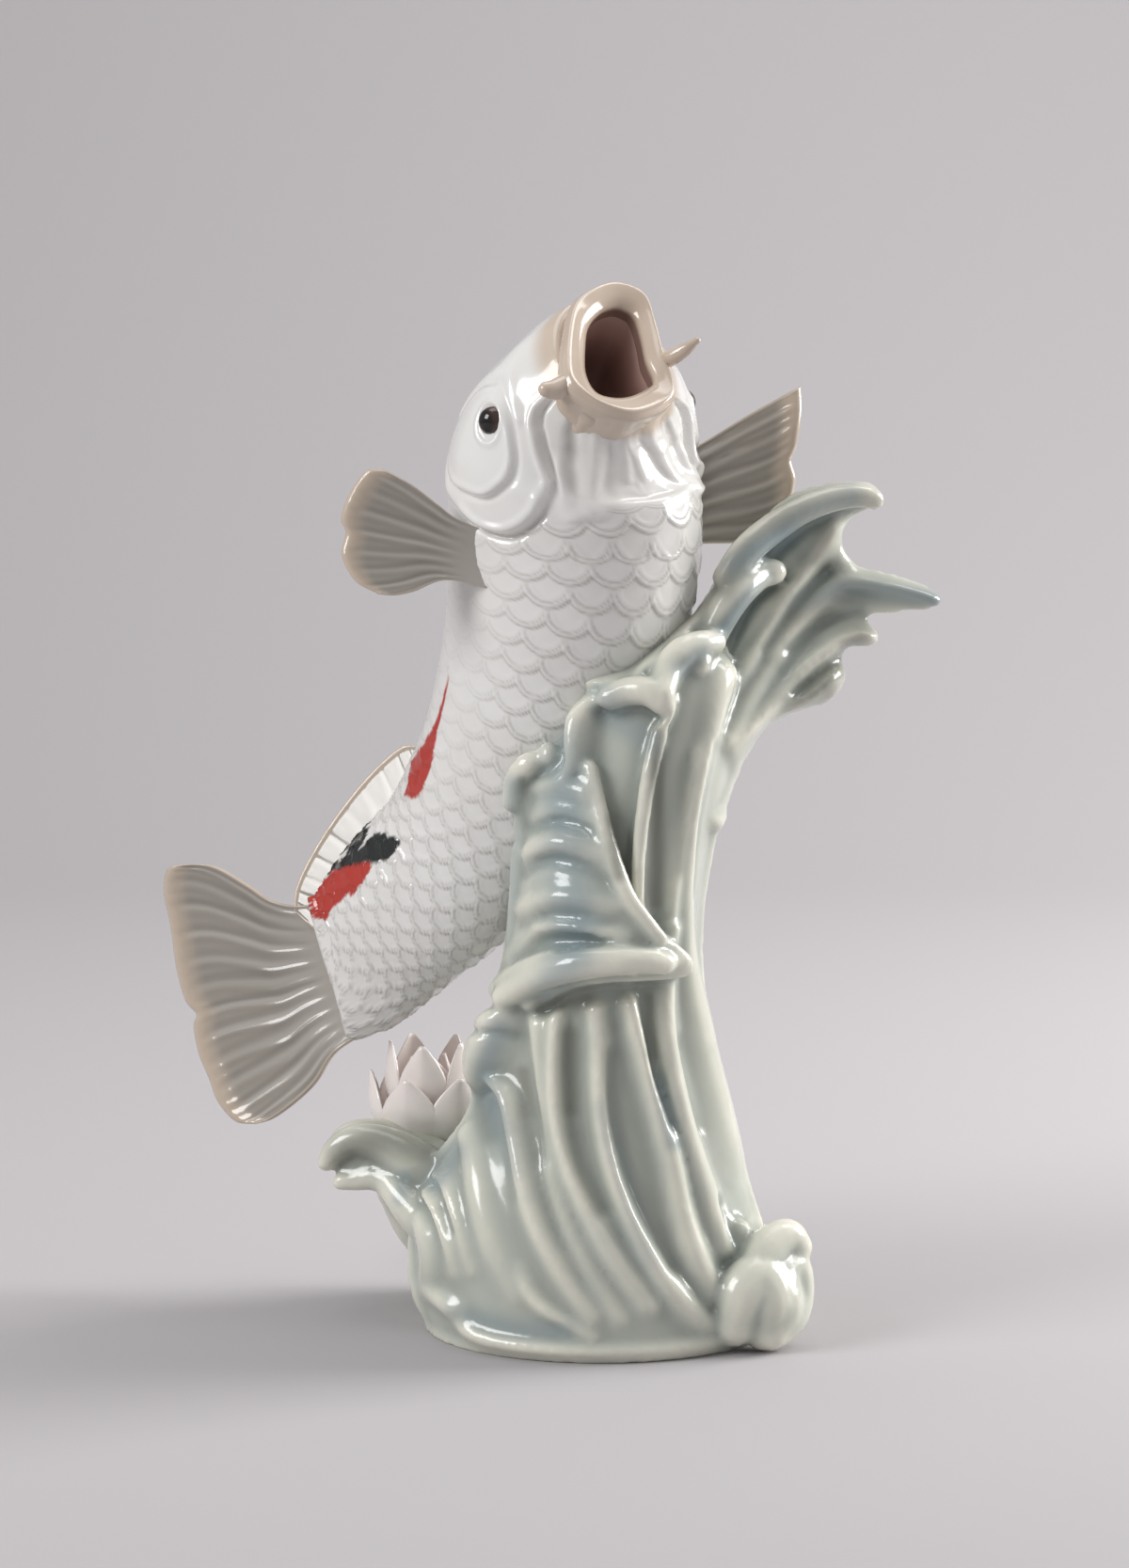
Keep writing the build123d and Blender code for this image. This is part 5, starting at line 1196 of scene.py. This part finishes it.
def flatFoot(piece):  # all below the floor is cut away
    form = bmesh.new()
    form.from_mesh(piece.data)
    parts = form.verts[:] + form.edges[:] + form.faces[:]
    cut = bmesh.ops.bisect_plane(form, geom=parts, plane_co=(0, 0, 0), plane_no=(0, 0, 1), clear_inner=True)
    rim = [part for part in cut["geom_cut"] if isinstance(part, bmesh.types.BMEdge) and part.is_boundary]
    bmesh.ops.holes_fill(form, edges=rim)
    bmesh.ops.recalc_face_normals(form, faces=form.faces)
    form.to_mesh(piece.data)
    form.free()
    smoothShade(piece.data)


def reliefOf(mesh):  # the points, and how far each stands out of the softened form, in millimetres
    place = readBack(mesh.vertices, "co", 3) / mm
    normal = readBack(mesh.vertex_normals, "vector", 3)
    ends = readBack(mesh.edges, "vertices", 2, int)
    degree = np.bincount(ends.ravel(), minlength=len(place))
    soft = place.copy()
    for _ in range(splash["reliefRounds"]):
        total = np.stack([np.bincount(ends[:, 0], soft[ends[:, 1], k], len(place))
                          + np.bincount(ends[:, 1], soft[ends[:, 0], k], len(place)) for k in range(3)], -1)
        soft = total / np.maximum(degree, 1)[:, None]
    return place, ((place - soft) * normal).sum(-1)


buildWave()
print("wave done")


# Water lily on the left splash

lily = {
    "foot": (-61.9, 38.3, 56.0), "reach": 21, "rise": 40, "width": 23, "thick": 0.9,
    # name, node, count, turn, profile out and up, width, curl of the edges
    "rings": [
        ("outerPetal", "outer_petal", 6, 0.10,
         [(0.10, 0.02), (0.62, 0.10), (0.96, 0.36), (1.00, 0.72)], 1.00, 0.34),
        ("middlePetal", "middle_petal", 5, 0.62,
         [(0.08, 0.08), (0.46, 0.20), (0.70, 0.56), (0.66, 1.00)], 0.86, 0.34),
        ("innerPetal", "inner_petal", 4, 0.25,
         [(0.06, 0.14), (0.30, 0.34), (0.40, 0.62), (0.30, 0.86)], 0.60, 0.30),
    ],
    "leaf": [0.22, 0.38, 0.49, 0.53, 0.49, 0.36, 0.05],  # half width from the root to the tip
    "petalRows": 34, "petalColumns": 24, "crease": 0.5,
    "stamens": 10, "stamenRing": 3.1, "stamenFoot": 10, "stamenHeight": 15, "stamenSpread": 1.6,
    "heartSize": (6, 6, 10), "heartLift": 2, "heartRows": 23, "heartSides": 40,
}


def outFrom(bearing):
    return np.array([math.cos(bearing), math.sin(bearing), 0])


def buildPetal(name, node, bearing, profile, width, curl, sway):
    out, side = outFrom(bearing), outFrom(bearing + math.pi / 2)
    rows, columns = lily["petalRows"], lily["petalColumns"]
    share, across = np.linspace(0, 1, rows)[:, None], np.linspace(-1, 1, columns)
    line = alongRows(profile, share[:, 0] * (len(profile) - 1))
    leaf = np.array(lily["leaf"])[:, None]
    half = alongRows(leaf, share[:, 0] * (len(leaf) - 1)) * width * lily["width"]
    spine = np.array(lily["foot"]) + out * line[:, :1] * lily["reach"]
    spine[:, 2] += line[:, 1] * lily["rise"]
    normal = np.cross(side, unit(np.gradient(spine, axis=0)))
    if normal[rows // 2] @ out < 0:
        normal = -normal
    lift = lily["crease"] * (1 - np.abs(across)) ** 3 * np.sin(np.pi * share) - curl * across**2 * half
    place = across * half + sway * share**2
    middle = spine[:, None] + side * place[..., None] + normal[:, None] * lift[..., None]
    thick = lily["thick"] * (1 - 0.45 * np.abs(across) ** 3) * (1 - 0.5 * share)
    wall = normal[:, None] * thick[..., None]
    shape = np.concatenate([middle + wall, (middle - wall)[:, ::-1]], axis=1)
    piece = makePiece(name, shape.reshape(-1, 3), leafFaces(rows, columns), "petalGlaze")
    tip = smooth(0.35, 1.0, share)
    inside = np.repeat([0.0, 1.0], columns)
    paint(piece, "pink", np.clip(0.10 * tip + 0.30 * inside * (1 - tip), 0, 1))
    settle(piece, "lily_glaze", node)


def stamen(bearing, tall):
    out = outFrom(bearing)
    low = np.array(lily["foot"]) + out * lily["stamenRing"] + (0, 0, lily["stamenFoot"])
    high = low + out * lily["stamenSpread"] + (0, 0, tall)
    line = [low, (low + high) / 2, high - (0, 0, 2), high - (0, 0, 0.8), high]
    return tube(line, [0.6, 0.55, 0.6, 1.1, 0.8], sides=12, steps=5)


def buildHeart():
    foot, rows, sides = np.array(lily["foot"]), lily["heartRows"], lily["heartSides"]
    turn, rise = np.meshgrid(fullTurn(sides), np.linspace(0, math.pi, rows + 2)[1:-1])
    ball = np.stack([np.cos(turn) * np.sin(rise), np.sin(turn) * np.sin(rise), np.cos(rise)], -1)
    ball = np.vstack([ball.reshape(-1, 3), [(0, 0, 1), (0, 0, -1)]])
    points = foot + (0, 0, lily["heartLift"]) + ball * lily["heartSize"]
    top = rows * sides
    faces = tubeFaces(rows, sides) + [[top, (j + 1) % sides, j] for j in range(sides)]
    faces += [[top + 1, top - sides + j, top - sides + (j + 1) % sides] for j in range(sides)]
    heart = makePiece("lilyHeart", points, faces, "petalGlaze")
    paint(heart, "pink", np.full(len(points), 0.3))
    settle(heart, "lily_glaze", "lily_heart")


def buildLily():
    random = np.random.default_rng(11)
    for name, node, count, turn, profile, width, curl in lily["rings"]:
        for index in range(count):
            bearing = math.radians(360 * (index + turn) / count) + random.uniform(-0.05, 0.05)
            buildPetal(f"{name}{index + 1}", f"{node}_{index + 1}", bearing, profile, width, curl,
                       random.uniform(-1.2, 1.2))
    forms = [stamen(bearing, lily["stamenHeight"] * random.uniform(0.8, 1.0))
             for bearing in fullTurn(lily["stamens"])]
    settle(makePiece("lilyStamens", *joined(forms), "stamenGlaze"), "stamen_glaze", "lily_stamens")
    buildHeart()


buildLily()
print("lily done")


# Stage, light and camera. Lengths are in metres here.

stage = {
    "floorColour": linear(178, 175, 177), "wallColour": linear(206, 202, 204), "width": 6.0,
    "front": -3.0, "bend": 1.0, "radius": 0.9, "top": 3.2,
    "skyColour": (0.93, 0.92, 0.94), "skyStrength": 0.43,
}
lamps = {  # place, target, size, power, colour
    "rightLamp": ((1.38, 0.40, 0.66), (0, 0, 0.14), 0.8, 25, (1, 0.99, 0.97)),
    "leftLamp": ((-1.5, -0.75, 1.2), (0, 0, 0.22), 0.9, 21, (1, 1, 1)),
    "topLamp": ((-0.1, 0.2, 1.6), (0, 0, 0.15), 0.8, 4, (1, 1, 1)),
    "wallLamp": ((1.0, 0.4, 1.7), (0.7, 1.9, 0.6), 1.0, 15, (1, 1, 1)),
}


def choose(tree, share, first, second, output):  # a share of two shaders, to an output
    mixer = addNode(tree, "ShaderNodeMixShader")
    for source, socket in ((share, mixer.inputs[0]), (first, mixer.inputs[1]), (second, mixer.inputs[2]),
                           (mixer.outputs[0], tree.nodes[output].inputs["Surface"])):
        tree.links.new(source, socket)


def buildStage():  # a paper sweep: floor, bend and wall in one
    turn, radius = np.radians(np.linspace(0, 90, 25)), stage["radius"]
    bend = np.stack([stage["bend"] + radius * np.sin(turn), radius * (1 - np.cos(turn))], -1)
    profile = np.vstack([[stage["front"], 0], bend, [stage["bend"] + radius, stage["top"]]])
    half = stage["width"] / 2
    points = [(x, y, z) for y, z in profile for x in (-half, half)]
    mesh = bpy.data.meshes.new("sweep")
    faces = [[k, k + 1, k + 3, k + 2] for k in range(0, len(points) - 2, 2)]
    mesh.from_pydata(points, [], faces)
    smoothShade(mesh)
    sweep = addObject("sweep", mesh)
    paper = bpy.data.materials.new("paper")
    paper.use_nodes = True
    tree = paper.node_tree
    shader = tree.nodes["Principled BSDF"]
    shader.inputs["Base Color"].default_value = (*stage["floorColour"], 1)
    shader.inputs["Roughness"].default_value = 0.95
    # the paper's back is clear, so that it hides nothing from behind
    clear, face = addNode(tree, "ShaderNodeBsdfTransparent"), addNode(tree, "ShaderNodeNewGeometry")
    choose(tree, face.outputs["Backfacing"], shader.outputs[0], clear.outputs[0], "Material Output")
    mesh.materials.append(paper)


def aim(holder, place, way):
    holder.location = place
    holder.rotation_euler = Vector(way).to_track_quat("-Z", "Y").to_euler()


def addLamp(name, place, target, size, power, colour):
    lamp = bpy.data.lights.new(name, "AREA")
    lamp.size = size
    lamp.energy = power
    lamp.color = colour
    aim(addObject(name, lamp), place, Vector(target) - Vector(place))


def lightScene():
    for name, parts in lamps.items():
        addLamp(name, *parts)
    sky = bpy.data.worlds.new("studio")
    bpy.context.scene.world = sky
    sky.use_nodes = True
    tree = sky.node_tree
    light = tree.nodes["Background"]
    light.inputs["Color"].default_value = (*stage["skyColour"], 1)
    light.inputs["Strength"].default_value = stage["skyStrength"]
    seen = addNode(tree, "ShaderNodeBackground", {"Color": (*stage["wallColour"], 1)})
    path = addNode(tree, "ShaderNodeLightPath")
    choose(tree, path.outputs["Is Camera Ray"], light.outputs[0], seen.outputs[0], "World Output")


def placeCamera():
    camera = bpy.data.cameras.new("camera")
    camera.lens = view["lens"]
    camera.sensor_fit = "VERTICAL"
    camera.sensor_height = view["film"]
    camera.clip_end = 20
    bpy.context.scene.camera = addObject("camera", camera)
    aim(bpy.context.scene.camera, viewPlace * mm, viewFacing)


buildStage()
lightScene()
placeCamera()
bpy.context.scene.view_settings.view_transform = "Standard"
